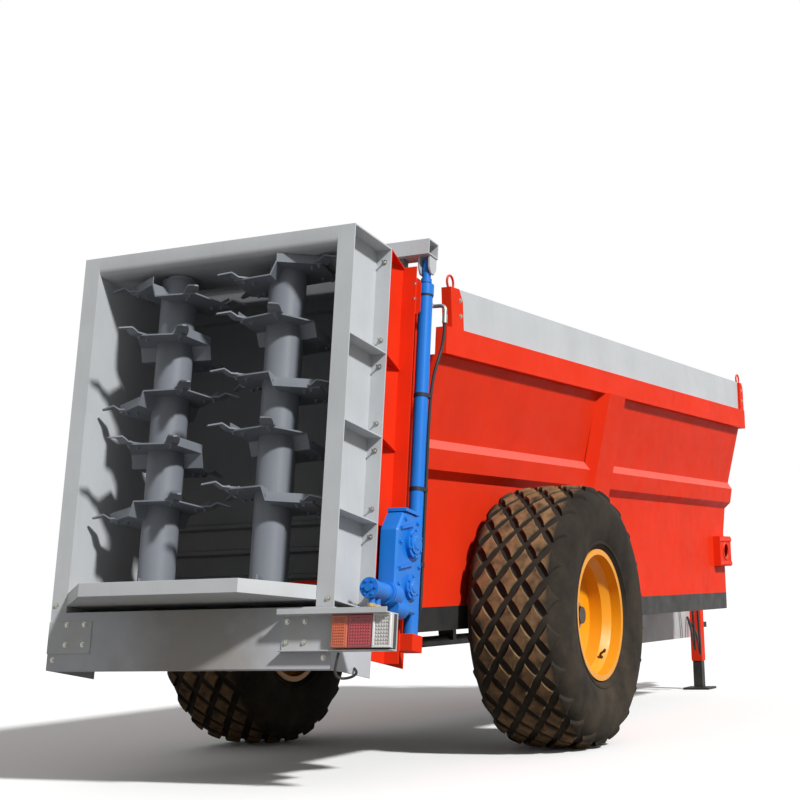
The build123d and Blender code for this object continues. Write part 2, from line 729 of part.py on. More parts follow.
def knife():
    """Cutting plate bolted on a flight's corner, folded up and down again towards its tip."""
    fold = FLIGHT_R + 50.0
    low = [(FLIGHT_R - 100.0, BLADE_T), (FLIGHT_R + 12.0, BLADE_T)]
    low += [(fold, BLADE_T + KNIFE_RISE), (TIP_R, BLADE_T + 4.0)]
    blade = profile_y(low + [(x, z + BLADE_T) for x, z in reversed(low)], (-KNIFE_W / 2, KNIFE_W / 2))
    half = [(FLIGHT_R - 100.0, KNIFE_W / 2), (FLIGHT_R + 30.0, KNIFE_W / 2), (TIP_R, 10.0)]
    return blade & profile_z(half + [(x, -y) for x, y in reversed(half)], (0, 100.0))


def flight():
    """One level of a beater: a plate folded down across its middle, with knives and edge flanges."""
    corner = FLIGHT_R * sin(radians(60.0))
    half = FLIGHT_R / 2
    end = 0.78 * FLIGHT_R
    low = corner + STEP_RUN
    spare = 2 * BLADE_T
    bend = BLADE_T / 3
    under = [(corner + spare, 0), (bend, 0), (bend - STEP_RUN, -STEP_DOWN), (-low - spare, -STEP_DOWN)]
    over = [(-low - spare, BLADE_T - STEP_DOWN), (-bend - STEP_RUN, BLADE_T - STEP_DOWN)]
    over += [(-bend, BLADE_T), (corner + spare, BLADE_T)]
    sheet = profile_x(under + over, (-end - spare, end + spare))
    outline = [(end, 0), (half, corner), (-half, corner), (-end, 0)]
    outline += [(-end, -STEP_RUN), (-half, -low), (half, -low), (end, -STEP_RUN)]
    plate = sheet & profile_z(outline, (-2 * STEP_DOWN, 2 * STEP_DOWN))
    thick = BLADE_T * 0.8
    lean = end - half
    edge = [(-half, corner), (-end, 0), (-end + thick, 0), (-half + thick, corner)]
    shape = plate + profile_z(edge, (BLADE_T, FLANGE_H))
    back = [(half, -low), (half + lean, -STEP_RUN), (half + lean - thick, -STEP_RUN), (half - thick, -low)]
    shape += profile_z(back, (BLADE_T - STEP_DOWN, FLANGE_H - STEP_DOWN))
    cutter = knife()
    for angle, drop in ((60.0, 0.0), (120.0, 0.0), (240.0, STEP_DOWN), (300.0, STEP_DOWN)):
        shape += Pos(0, 0, -drop) * Rot(0, 0, angle) * cutter
    return shape - bar_z(TUBE_R - TUBE_T / 2, 0, 0, (-FAR, FAR))


def beater(offset):
    """Upright tube with stepped flights; the offset lets the knives of two beaters pass each other."""
    shape = bar_z(TUBE_R, 0, 0, (TUBE_LOW, TUBE_TOP))
    shape += bar_z(TUBE_R + 5.0, 0, 0, (TUBE_LOW, TUBE_LOW + COLLAR_H))
    shape -= bar_z(TUBE_R - TUBE_T, 0, 0, (TUBE_LOW, TUBE_TOP - TUBE_T))
    shape += bar_z(TOP_PIN_R, 0, 0, (TUBE_TOP - TUBE_T, TOP_BEAM_LOW - 3.0))
    level = flight()
    for i, turn in enumerate(LEVEL_TURNS):
        shape += Pos(0, 0, LEVEL_START + offset + LEVEL_PITCH * i) * Rot(0, 0, turn) * level
    return shape


def paddle_disc():
    shape = bar_z(PADDLE_R - 70.0, 0, 0, (DISC_LOW, TUBE_LOW))
    shape += bar_z(SPINDLE_BEATER_R, 0, 0, (APRON_H - CASE_GAP - 38.0, TUBE_LOW))
    for i in range(4):
        blade = block((TUBE_R + 10.0, PADDLE_R), (-5.0, 5.0), (TUBE_LOW, TUBE_LOW + PADDLE_H))
        blade += block((TUBE_R + 10.0, PADDLE_R - 80.0), (5.0, 60.0), (TUBE_LOW, TUBE_LOW + BLADE_T))
        shape += Rot(0, 0, PADDLE_TURN + 90.0 * i) * blade
    return shape


def door_panel():
    wide = WEB_Y - DOOR_GAP
    depth = (DOOR_D - DOOR_T / 2, DOOR_D + DOOR_T / 2)
    shape = block((DOOR_D - SHEET / 2, DOOR_D + SHEET / 2), (-wide, wide), (DOOR_LOW, LIFT_BEAM_LOW))
    for y in ((wide - 60.0, wide), (-wide, 60.0 - wide)):
        shape += block(depth, y, (DOOR_LOW, LIFT_BEAM_LOW))
    span = WEB_Y - GUIDE_W - 12.0
    head = TOP_BEAM_LOW - 95.0
    for low, tall in ((DOOR_LOW, 1.0), (DOOR_LOW + 150.0, 1.0), (DOOR_LOW + 300.0, 1.0), (head, 2.0)):
        top = low + DOOR_RIB * tall
        rib = [(DOOR_D, low), (depth[0], low + 12.0), (depth[0], top - 12.0), (DOOR_D, top)]
        shape += profile_y(rib, (-span, span))
    return LEANING * shape


def door_beam():
    wide = CYL_Y + 45.0
    z = (LIFT_BEAM_LOW, LIFT_BEAM_LOW + LIFT_BEAM_H)
    depth = (DOOR_D - DOOR_T, DOOR_D + DOOR_T)
    shape = block(depth, (-wide, wide), z)
    shape -= block((depth[0] + SHEET, depth[1] - SHEET), (-wide, wide), (z[0] + SHEET, z[1] - SHEET))
    half = CLEVIS_W / 2
    foot = z[0] - CLEVIS_H
    cheek = [(-half, z[0]), (-half, foot + 35.0), (25.0 - half, foot)]
    cheek += [(-x, h) for x, h in reversed(cheek)]
    for inner in (CYL_Y - NECK_R - 1.0 - CLEVIS_T, CYL_Y + NECK_R + 1.0):
        plate = profile_y([(CYL_D + x, h) for x, h in cheek], (inner, inner + CLEVIS_T))
        shape += plate + right(plate)
    return LEANING * shape


def rod_ends():
    """Painted eye on each rod, held between the cheeks under the beam."""
    shape = bar_z(NECK_R, CYL_D, CYL_Y, (CYL_TOP + RUN_GAP, LIFT_BEAM_LOW - CLEVIS_T))
    shape += bar_z(NECK_R + 6.0, CYL_D, CYL_Y, (CYL_TOP + RUN_GAP, CYL_TOP + RUN_GAP + 22.0))
    shape -= bar_z(ROD_R, CYL_D, CYL_Y, (CYL_TOP, CYL_TOP + CYL_HEAD / 2))
    shape = LEANING * shape
    return shape + right(shape)


def lift_rods():
    rod = bar_z(ROD_R, CYL_D, CYL_Y, (CYL_LOW + 40.0, CYL_TOP + CYL_HEAD / 2))
    rod += bar_z(CYL_BORE - ROD_GAP, CYL_D, CYL_Y, (CYL_LOW + 40.0, CYL_LOW + 90.0))
    rod = LEANING * rod
    return rod + right(rod)


def lift_cylinder():
    shape = bar_z(CYL_R, CYL_D, CYL_Y, (CYL_LOW, CYL_TOP))
    shape += bar_z(CYL_R + 5.0, CYL_D, CYL_Y, (CYL_TOP - 60.0, CYL_TOP))
    shape -= bar_z(CYL_BORE, CYL_D, CYL_Y, (CYL_LOW + 30.0, CYL_TOP - 50.0))
    shape -= bar_z(ROD_R + ROD_GAP, CYL_D, CYL_Y, (CYL_LOW + 30.0, CYL_TOP))
    shape += bar_x(14.0, (CYL_D + CYL_R - 4.0, CYL_D + CYL_R + 26.0), CYL_Y, CYL_TOP - 100.0)
    return LEANING * shape


def cylinder_hose():
    start = CYL_D + CYL_R + 26.0
    lean = CYL_D + CYL_R + HOSE_R
    top = CYL_TOP - 100.0
    points = [
        (start, CYL_Y, top),
        (start + HOSE_BOW, CYL_Y, top),
        (start + HOSE_BOW, CYL_Y, top - HOSE_FALL),
        (lean, CYL_Y, top - HOSE_MEET),
        (lean, CYL_Y, CYL_LOW + HOSE_FOOT),
        (lean, WEB_Y + SHEET, CYL_LOW + HOSE_FOOT),
    ]
    path = FilletPolyline(*points, radius=40.0)
    return LEANING * sweep(Plane(origin=path @ 0, z_dir=path % 0) * Circle(HOSE_R), path=path)


def floor_gearbox():
    inner = FRAME_W / 2
    outer = inner + GEAR_W
    z = (GEAR_LOW, GEAR_LOW + GEAR_H)
    x = (GEAR_D, GEAR_D + GEAR_L)
    outline = [(x[0] + 80.0, z[0]), (x[1] - 40.0, z[0]), (x[1], z[0] + 60.0), (x[1], z[1] - 150.0)]
    outline += [(x[1] - 70.0, z[1]), (x[0] + 70.0, z[1]), (x[0], z[1] - 110.0), (x[0], z[0] + 110.0)]
    shape = profile_y(outline, (inner, outer))
    shape = fillet(shape.edges().filter_by(Axis.Y), 28.0)
    shape = chamfer(shape.faces().sort_by(Axis.Y)[-1].edges(), 10.0)
    middle = x[0] + GEAR_L * 0.58
    for share, radius, proud in GEAR_CAPS:
        height = z[0] + GEAR_H * share
        shape += bar_y(radius, middle, (outer - 10.0, outer + proud), height)
        shape += bar_y(radius * 0.72, middle, (outer, outer + proud + 8.0), height)
    for share in GEAR_WEBS:
        height = z[0] + GEAR_H * share
        web = [(x[0] + 30.0, height), (middle, height + 40.0)]
        web += [(a, h + 14.0) for a, h in reversed(web)]
        shape += profile_y(web, (outer - 10.0, outer + 14.0))
    shape += block((x[0] + 60.0, x[1] - 60.0), (inner, outer + 12.0), (z[1] - 4.0, z[1] + 14.0))
    axis = inner + MOTOR_R + 16.0
    shape += bar_x(MOTOR_R + 16.0, (x[0] - 24.0, x[0] + 60.0), axis, MOTOR_H)
    shape += bar_x(MOTOR_R + 4.0, (x[0] + 30.0, x[0] + 150.0), axis, z[0] + 14.0)
    return right(LEANING * shape)


def floor_motor():
    y = FRAME_W / 2 + MOTOR_R + 16.0
    end = GEAR_D - 24.0
    back = end - MOTOR_L
    shape = bar_x(MOTOR_R, (back + 14.0, end), y, MOTOR_H)
    shape += bar_x(MOTOR_R + 7.0, (back, back + 26.0), y, MOTOR_H)
    shape += bar_x(MOTOR_R * 0.45, (back - 12.0, back), y, MOTOR_H)
    shape += bar_x(MOTOR_R + 12.0, (end - 14.0, end), y, MOTOR_H)
    for offset in (40.0, 100.0):
        shape += bar_z(17.0, back + offset, y, (MOTOR_H - MOTOR_R - 30.0, MOTOR_H))
    return right(LEANING * shape)


def lamp_brackets():
    edge = LAMP_Y + LAMP_W + 4.0
    top = LAMP_LOW + LAMP_H
    low = LAMP_LOW - BRACKET_T
    plate = block((-BRACKET_T, 0), (BRACKET_Y, edge), (low, top + BRACKET_T))
    hood = [(0, BRACKET_Y), (-HOOD_D, BRACKET_Y + 15.0), (-HOOD_D, edge - 15.0), (0, edge)]
    shape = plate + profile_z(hood, (top, top + BRACKET_T))
    shape += block((-HOOD_D, BRACKET_T - HOOD_D), (BRACKET_Y + 15.0, edge - 15.0), (top, top + HOOD_LIP))
    shape += block((-HOOD_D / 2, 0), (BRACKET_Y, edge), (low - BRACKET_T, low))
    bare = LEANING * block((-BRACKET_T, 0), (BRACKET_Y, FRAME_W / 2), (low, top))
    return bare + right(LEANING * shape)


def lamp_housings():
    shape = block((-LAMP_D * 0.6, -BRACKET_T), (LAMP_Y, LAMP_Y + LAMP_W), (LAMP_LOW, LAMP_LOW + LAMP_H))
    return right(LEANING * shape)


def lens(start, end):
    y = (LAMP_Y + LAMP_W * start, LAMP_Y + LAMP_W * end)
    shape = block((-LAMP_D, -LAMP_D * 0.6), y, (LAMP_LOW, LAMP_LOW + LAMP_H))
    shape = chamfer(shape.faces().sort_by(Axis.X)[0].edges(), 6.0)
    return right(LEANING * shape)


def access_step():
    y = (LOW_Y, LOW_Y + STEP_OUT)
    x = (STEP_X, STEP_X + STEP_L)
    z = (STEP_Z, STEP_Z + STEP_H)
    shape = block(x, y, z)
    shape -= block((x[0] + SIDE_T, x[1] - SIDE_T), (y[0], y[1] - SIDE_T), (z[0] + SIDE_T, z[1] - SIDE_T))
    middle = ((x[0] + x[1]) / 2, (z[0] + z[1]) / 2)
    shape += bar_y(78.0, middle[0], (y[1] - SIDE_T, y[1] + 6.0), middle[1])
    shape -= bar_y(60.0, middle[0], (y[1] - SIDE_T, y[1] + 6.0), middle[1])
    pitch = STEP_L / TOOTH_COUNT
    for i in range(TOOTH_COUNT):
        a = x[0] + pitch * i
        for low in (z[0] + 10.0, z[1] - 10.0 - 2 * TOOTH):
            tooth = [(a + 4.0, low), (a + pitch - 4.0, low), (a + pitch / 2, low + 2 * TOOTH)]
            shape += profile_y(tooth, (y[1], y[1] + 10.0))
    return right(shape)


def drive_shaft():
    flange_h = lean_height(POST_D, SHAFT_Z)
    depth = (POST_D - CASE_GAP, POST_D + 40.0)
    shape = LEANING * bar_x(60.0, depth, 0, flange_h)
    rear = world_x(POST_D, flange_h) + 10.0
    shape += bar_x(DRIVE_R, (rear, STUB_X), 0, SHAFT_Z)
    shape += bar_x(STUB_R, (STUB_X, STUB_X + STUB_L), 0, SHAFT_Z)
    for x in MEMBER_X:
        shape += block((x + 15.0, x + 65.0), (-DRIVE_R - 20.0, DRIVE_R + 20.0), (SHAFT_Z, BEAM_TOP))
    return shape


def pieces():
    found = {
        "axle_beam": axle_beam(),
        "chassis_frame": chassis_frame(),
        "drawbar": drawbar(),
        "hitch_eye": hitch_eye(),
        "jack_tube": jack_tube(),
        "jack_leg": jack_leg(),
        "hopper_floor": hopper_floor(),
        "front_wall": front_wall(),
        "floor_conveyor": floor_conveyor(),
        "conveyor_shafts": conveyor_shafts(),
        "beater_top_beam": beater_top_beam(),
        "rear_apron": rear_apron(),
        "beater_case": beater_case(),
        "spreading_tray": spreading_tray(),
        "door_panel": door_panel(),
        "door_beam": door_beam(),
        "lift_rods": lift_rods(),
        "rod_ends": rod_ends(),
        "floor_gearbox": floor_gearbox(),
        "floor_motor": floor_motor(),
        "lamp_brackets": lamp_brackets(),
        "lamp_housings": lamp_housings(),
        "access_step": access_step(),
        "drive_shaft": drive_shaft(),
    }
    for name, start, end in LENSES:
        found[name] = lens(start, end)
    wheel = Pos(0, WHEEL_Y, TYRE_R)
    pairs = {
        "tyre": wheel * tyre(),
        "rim": wheel * rim(),
        "hub": wheel * hub(),
        "side_wall": side_wall(),
        "top_rail": top_rail(),
        "top_board": top_board(),
        "pillar": pillar(),
        "beater_post": beater_post(),
        "lift_cylinder": lift_cylinder(),
        "cylinder_hose": cylinder_hose(),
    }
    for name, shape in pairs.items():
        found[name + "_left"] = shape
        found[name + "_right"] = right(shape)
    axis = LEANING * Pos(BEATER_D, BEATER_Y, 0)
    found["beater_left"] = axis * beater(0.0)
    found["paddle_disc_left"] = axis * paddle_disc()
    found["beater_right"] = right(axis * beater(LEVEL_OFFSET))
    found["paddle_disc_right"] = right(axis * Rot(0, 0, 45.0) * paddle_disc())
    return found


def main():
    os.makedirs("parts", exist_ok=True)
    for name, shape in pieces().items():
        export_step(Pos(SHIFT, 0, 0) * shape, "parts/" + name + ".step")


if __name__ == "__main__":
    main()
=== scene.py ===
"""Looks of the fertilizer spreader: finishes, tread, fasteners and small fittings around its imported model."""

import json
import math

import bmesh
import bpy
from mathutils import Matrix, Vector


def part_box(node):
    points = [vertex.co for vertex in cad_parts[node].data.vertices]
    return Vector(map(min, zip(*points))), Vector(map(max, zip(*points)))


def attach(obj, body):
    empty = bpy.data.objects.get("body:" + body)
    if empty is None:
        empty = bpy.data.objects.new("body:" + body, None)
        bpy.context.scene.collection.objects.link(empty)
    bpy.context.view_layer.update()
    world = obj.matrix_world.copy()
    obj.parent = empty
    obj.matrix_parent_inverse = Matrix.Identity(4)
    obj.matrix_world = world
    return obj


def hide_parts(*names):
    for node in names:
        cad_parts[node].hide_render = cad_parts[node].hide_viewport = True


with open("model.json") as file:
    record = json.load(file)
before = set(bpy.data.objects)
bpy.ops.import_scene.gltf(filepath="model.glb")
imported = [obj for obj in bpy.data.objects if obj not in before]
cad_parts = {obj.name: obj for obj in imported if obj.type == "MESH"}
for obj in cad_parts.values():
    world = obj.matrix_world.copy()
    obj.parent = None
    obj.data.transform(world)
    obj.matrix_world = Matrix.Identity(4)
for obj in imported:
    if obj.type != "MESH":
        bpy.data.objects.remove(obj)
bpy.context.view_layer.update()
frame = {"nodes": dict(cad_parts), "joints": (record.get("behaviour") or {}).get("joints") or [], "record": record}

bl_info = {
    "name": "Fertilizer spreader dressing",
    "version": (1, 0, 0),
    "blender": (4, 5, 0),
    "location": "View3D > Sidebar > Spreader",
    "description": "Finishes, tread, fasteners and fittings of a trailed fertilizer spreader",
    "category": "Object",
}

NODES = frame["nodes"]
JOINTS = {joint["name"]: joint for joint in frame["joints"]}
AXLE = Vector(JOINTS["wheel_right_spin"]["pos_m"])
SIDES = (("left", 1.0), ("right", -1.0))

# Leaning rear frame: depth forward of its rear face, height along its lean
LEAN_UP = Vector(JOINTS["door_slide"]["axis"]).normalized()
LEAN_DEPTH = Vector((LEAN_UP.z, 0.0, -LEAN_UP.x))
POST_DEPTH = 0.42
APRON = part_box("rear_apron")
FOOT = Vector((APRON[0][0], 0.0, APRON[0][2] + POST_DEPTH * LEAN_UP.x))
FRAME_HALF = 0.875
POST_WEB = 0.78
RIBS = (0.340, 0.803, 1.266, 1.729, 2.322)

# Beaters: place of the axis, lowest flight, rise between flights, radii
BEATER_DEPTH = 0.21
BEATER_SIDE = 0.356
LEVEL_LOW = 0.900
LEVEL_RISE = 0.30775
LEVEL_TURNS = (168.0, 101.0, 168.0, 101.0, -12.0)
LEVEL_OFFSETS = {"left": 0.0, "right": 0.042}
STEP_DOWN = 0.075
FLIGHT_R = 0.269
PLATE_T = 0.008
# Corner of a flight that carries a knife: turn, how far it lies down the step
KNIVES = ((60.0, 0.0), (120.0, 0.0), (240.0, STEP_DOWN), (300.0, STEP_DOWN))
TUBE_FOOT = 0.375
PADDLE_TURNS = {"left": 22.0, "right": 67.0}

# Lift cylinders
CYL_DEPTH = 0.80
CYL_SIDE = 0.90
CYL_R = 0.040
CYL_TOP = 2.24
CYL_LOW = 0.270
PORT_DROP = 0.10
HOSE_R = 0.009
HOSE_FOOT = 0.13
# Side of the barrel that the hose is strapped to, turned outwards from its front
HOSE_TURN = math.radians(62.0)
ELBOW_REACH = 0.082
STRAPS = (1.583, 1.053, 0.640)

# Floor gearbox: covers by height, radius and how far they stand out; case bolts by depth and height
GEARBOX_COVERS = ((0.4998, 0.066, 0.018), (0.733, 0.080, 0.022))
GEARBOX_BOLTS = (
    (0.492, 0.500), (0.492, 0.720), (0.540, 0.850), (0.680, 0.850), (0.715, 0.620), (0.560, 0.385),
)

# Right lamp: inner end, width, foot, height, depth
LAMP_SIDE = 0.90
LAMP_W = 0.335
LAMP_LOW = 0.095
LAMP_H = 0.165
LAMP_D = 0.060

# Tyre outline, one half: radius, half width
TYRE_SECTION = (
    (0.3756, 0.2606), (0.4040, 0.2606), (0.4110, 0.2710), (0.4260, 0.2800), (0.4310, 0.2900),
    (0.4440, 0.2900), (0.4480, 0.2860), (0.4700, 0.2960), (0.5200, 0.3060), (0.5700, 0.3100),
    (0.6200, 0.3098), (0.6600, 0.3060), (0.6900, 0.2990), (0.7160, 0.2870), (0.7360, 0.2700),
    (0.7520, 0.2480), (0.7620, 0.2200), (0.7690, 0.1800), (0.7735, 0.1200), (0.7755, 0.0600),
    (0.7760, 0.0000),
)

# Wheel fittings: nuts and hub cap screws by count, circle and face; valve by its turn, offset and radius
WHEEL_NUTS = 10
NUT_CIRCLE = 0.140
NUT_FACE = 0.036
CAP_SCREWS = 6
CAP_CIRCLE = 0.071
CAP_FACE = 0.118
VALVE_TURN = math.radians(-50.0)
VALVE_OUT = 0.180
VALVE_R = 0.349


def lean(depth, y, height):
    """Point of the leaning frame in the shared frame."""
    return FOOT + LEAN_DEPTH * depth + Vector((0.0, y, 0.0)) + LEAN_UP * height


# Mesh helpers


def piece(name, bm, body, material, angle=35.0):
    """New object from a mesh, shaded smooth below the angle, riding a body."""
    mesh = bpy.data.meshes.new(name)
    bmesh.ops.recalc_face_normals(bm, faces=bm.faces)
    bm.to_mesh(mesh)
    bm.free()
    mesh.shade_smooth()
    mesh.set_sharp_from_angle(angle=math.radians(angle))
    mesh.materials.append(material)
    obj = bpy.data.objects.new(name, mesh)
    bpy.context.scene.collection.objects.link(obj)
    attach(obj, body)
    return obj


def turned_to(place, axis):
    """Matrix that stands local Z along the axis at a place."""
    return Matrix.Translation(place) @ Vector(axis).to_track_quat("Z", "Y").to_matrix().to_4x4()


def drum(bm, stand, sides, low, high, radius, top=None):
    """Prism or cone between two heights of a stand matrix."""
    shift = stand @ Matrix.Translation((0.0, 0.0, (low + high) / 2))
    end = radius if top is None else top
    bmesh.ops.create_cone(
        bm, cap_ends=True, segments=sides, radius1=radius, radius2=end, depth=high - low, matrix=shift
    )


def bolt(bm, place, axis, across=0.024, thread=0.0):
    """Washer and chamfered hexagon standing on a face, with a thread end where it is a nut."""
    stand = turned_to(place, axis)
    high = across * 0.62
    drum(bm, stand, 20, 0.0, 0.0025, across * 0.92, across * 0.88)
    drum(bm, stand, 6, 0.0025, high * 0.82, across * 0.577)
    drum(bm, stand, 6, high * 0.82, high, across * 0.577, across * 0.47)
    if thread:
        drum(bm, stand, 12, high, high + thread, across * 0.30, across * 0.26)


def sweep(bm, points, radius, sides=14):
    """Round tube along points, closed at both ends."""
    points = [Vector(p) for p in points]
    normal = (points[1] - points[0]).orthogonal().normalized()
    rings = []
    for i, point in enumerate(points):
        ahead = (points[min(i + 1, len(points) - 1)] - points[max(i - 1, 0)]).normalized()
        normal = (normal - ahead * normal.dot(ahead)).normalized()
        across = ahead.cross(normal)
        turns = [2.0 * math.pi * k / sides for k in range(sides)]
        around = [normal * math.cos(a) + across * math.sin(a) for a in turns]
        rings.append([bm.verts.new(point + out * radius) for out in around])
    for low, high in zip(rings, rings[1:]):
        for k in range(sides):
            bm.faces.new((low[k], low[(k + 1) % sides], high[(k + 1) % sides], high[k]))
    bm.faces.new(reversed(rings[0]))
    bm.faces.new(rings[-1])


def smooth(points, rounds=4):
    """Points with their corners cut again and again until the run is round."""
    points = [Vector(p) for p in points]
    for step in range(rounds):
        cut = [points[0]]
        for a, b in zip(points, points[1:]):
            cut += [a.lerp(b, 0.25), a.lerp(b, 0.75)]
        points = cut + [points[-1]]
    return points


def slab(bm, corners, along):
    """Prism of a corner loop drawn out along a vector."""
    low = [bm.verts.new(c) for c in corners]
    high = [bm.verts.new(Vector(c) + along) for c in corners]
    count = len(corners)
    for k in range(count):
        bm.faces.new((low[k], low[(k + 1) % count], high[(k + 1) % count], high[k]))
    bm.faces.new(reversed(low))
    bm.faces.new(high)


def cord(name, points, radius):
    """Hose or lead between two points of the chassis."""
    curve = bpy.data.curves.new(name, "CURVE")
    curve.dimensions = "3D"
    curve.resolution_u = 16
    line = curve.splines.new("NURBS")
    line.points.add(len(points) - 1)
    for target, place in zip(line.points, points):
        target.co = (*place, 1.0)
    line.order_u = 3
    line.use_endpoint_u = True
    obj = bpy.data.objects.new(name, curve)
    bpy.context.scene.collection.objects.link(obj)
    bpy.context.view_layer.update()
    shown = obj.evaluated_get(bpy.context.evaluated_depsgraph_get())
    mesh = shown.to_mesh()
    shown.to_mesh_clear()
    curve.bevel_depth = radius
    curve.bevel_resolution = 4
    curve.use_fill_caps = True
    curve.materials.append(made("hose_rubber"))
    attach(obj, "chassis")


# Finishes


def link(tree, source, target):
    tree.links.new(source, target)


def node(tree, kind, **sockets):
    """New shader node with its named input sockets set to constants."""
    fresh = tree.nodes.new(kind)
    for name, value in sockets.items():
        fresh.inputs[name.replace("_", " ")].default_value = value
    return fresh


def noise(tree, coords, scale, detail=4.0, rough=0.55):
    fresh = node(tree, "ShaderNodeTexNoise", Scale=scale, Detail=detail, Roughness=rough)
    link(tree, coords, fresh.inputs["Vector"])
    return fresh.outputs["Fac"]


def ramp(tree, value, low, high):
    """Value mapped from low..high to 0..1 and held there."""
    fresh = node(tree, "ShaderNodeMapRange", From_Min=low, From_Max=high)
    link(tree, value, fresh.inputs["Value"])
    return fresh.outputs["Result"]


def combine(tree, kind, a, b):
    fresh = tree.nodes.new("ShaderNodeMath")
    fresh.operation = kind
    for socket, value in zip(fresh.inputs, (a, b)):
        if isinstance(value, (int, float)):
            socket.default_value = value
        else:
            link(tree, value, socket)
    return fresh.outputs[0]


def mixed(tree, amount, a, b):
    """Colour between a and b; each is a colour or a socket."""
    fresh = tree.nodes.new("ShaderNodeMix")
    fresh.data_type = "RGBA"
    link(tree, amount, fresh.inputs["Factor"])
    for socket, value in ((fresh.inputs[6], a), (fresh.inputs[7], b)):
        if isinstance(value, bpy.types.NodeSocket):
            link(tree, value, socket)
        else:
            socket.default_value = (*value[:3], 1.0)
    return fresh.outputs[2]


def seen_rays(tree):
    """One for rays from the camera and for those mirrored or passed on to it."""
    path = tree.nodes.new("ShaderNodeLightPath").outputs
    mirrored = combine(tree, "MAXIMUM", path["Is Glossy Ray"], path["Is Transmission Ray"])
    return combine(tree, "MAXIMUM", path["Is Camera Ray"], mirrored)


def axis_parts(tree, coords):
    parts = tree.nodes.new("ShaderNodeSeparateXYZ")
    link(tree, coords, parts.inputs[0])
    return parts.outputs


def finish(name, colour, rough=0.4, metallic=0.0, shine=0.4, dust=0.3, dust_top=1.2, grain=220.0, bump=0.15,
           wear=0.0, wear_colour=(0.20, 0.17, 0.15), streaks=0.0, stain=None, tread=None, upward_sheen=None):
    """Weathered finish: mottled colour, chips, run marks, stain, worn tread, a painted sky reflection on upward
    faces, and dust that thins upwards.
    """
    material = bpy.data.materials.new(name)
    material.use_nodes = True
    tree = material.node_tree
    shader = tree.nodes["Principled BSDF"]
    dust_colour = bpy.context.scene.spreader_colours.dust
    coords = tree.nodes.new("ShaderNodeTexCoord").outputs["Object"]
    parts = axis_parts(tree, coords)
    mottle = ramp(tree, noise(tree, coords, 2.3), 0.3, 0.7)
    base = mixed(tree, mottle, tuple(c * 0.88 for c in colour), colour)
    if streaks:
        stretch = tree.nodes.new("ShaderNodeMapping")
        stretch.inputs["Scale"].default_value = (9.0, 9.0, 0.55)
        link(tree, coords, stretch.inputs["Vector"])
        runs = ramp(tree, noise(tree, stretch.outputs[0], 3.0, 5.0), 0.56, 0.75)
        base = mixed(tree, combine(tree, "MULTIPLY", runs, streaks), base, tuple(c * 0.6 for c in colour))
    if wear:
        spots = ramp(tree, noise(tree, coords, 46.0, 6.0, 0.65), 0.63, 0.70)
        base = mixed(tree, combine(tree, "MULTIPLY", spots, wear), base, wear_colour)
    if stain:
        centre, half, tint = stain
        away = combine(tree, "ABSOLUTE", combine(tree, "SUBTRACT", parts["Y"], centre), 0.0)
        ragged = combine(tree, "ADD", away, combine(tree, "MULTIPLY", noise(tree, coords, 4.0, 6.0), 0.5))
        base = mixed(tree, combine(tree, "MULTIPLY", ramp(tree, ragged, half + 0.35, half), 0.75), base, tint)
    if tread:
        radius, tint = tread
        x = combine(tree, "SUBTRACT", parts["X"], AXLE.x)
        z = combine(tree, "SUBTRACT", parts["Z"], AXLE.z)
        square = combine(tree, "ADD", combine(tree, "MULTIPLY", x, x), combine(tree, "MULTIPLY", z, z))
        proud = ramp(tree, combine(tree, "POWER", square, 0.5), radius - 0.022, radius - 0.008)
        patchy = ramp(tree, noise(tree, coords, 14.0, 6.0), 0.25, 0.62)
        base = mixed(tree, combine(tree, "MULTIPLY", proud, patchy), base, tint)
    # Painted sky reflection: faces that look upwards are lightened towards a pale tint
    if upward_sheen:
        amount, pale = upward_sheen
        facing = axis_parts(tree, tree.nodes.new("ShaderNodeNewGeometry").outputs["Normal"])
        painted_sheen = combine(tree, "MULTIPLY", ramp(tree, facing["Z"], 0.30, 0.75), amount)
        base = mixed(tree, painted_sheen, base, pale)
    low = ramp(tree, parts["Z"], dust_top, 0.1)
    blotch = ramp(tree, noise(tree, coords, 5.5, 8.0, 0.6), 0.32, 0.68)
    cover = combine(tree, "MULTIPLY", combine(tree, "MULTIPLY", low, blotch), dust)
    base = mixed(tree, cover, base, dust_colour)
    link(tree, base, shader.inputs["Base Color"])
    uneven = combine(tree, "MULTIPLY", ramp(tree, noise(tree, coords, 9.0), 0.25, 0.75), 0.18)
    level = combine(tree, "ADD", uneven, rough - 0.06)
    link(tree, combine(tree, "ADD", level, combine(tree, "MULTIPLY", cover, 0.4)), shader.inputs["Roughness"])
    shader.inputs["Metallic"].default_value = metallic
    shader.inputs["Specular IOR Level"].default_value = shine
    raised = node(tree, "ShaderNodeBump", Strength=bump, Distance=0.002)
    link(tree, noise(tree, coords, grain, 3.0), raised.inputs["Height"])
    link(tree, raised.outputs["Normal"], shader.inputs["Normal"])
    return material


# Pale tint of the painted sky reflection on upward faces
SHEEN_TINT = (0.60, 0.40, 0.35)
APRON_TINT = (0.24, 0.220, 0.190)
TREAD_TINT = (0.235, 0.140, 0.066)
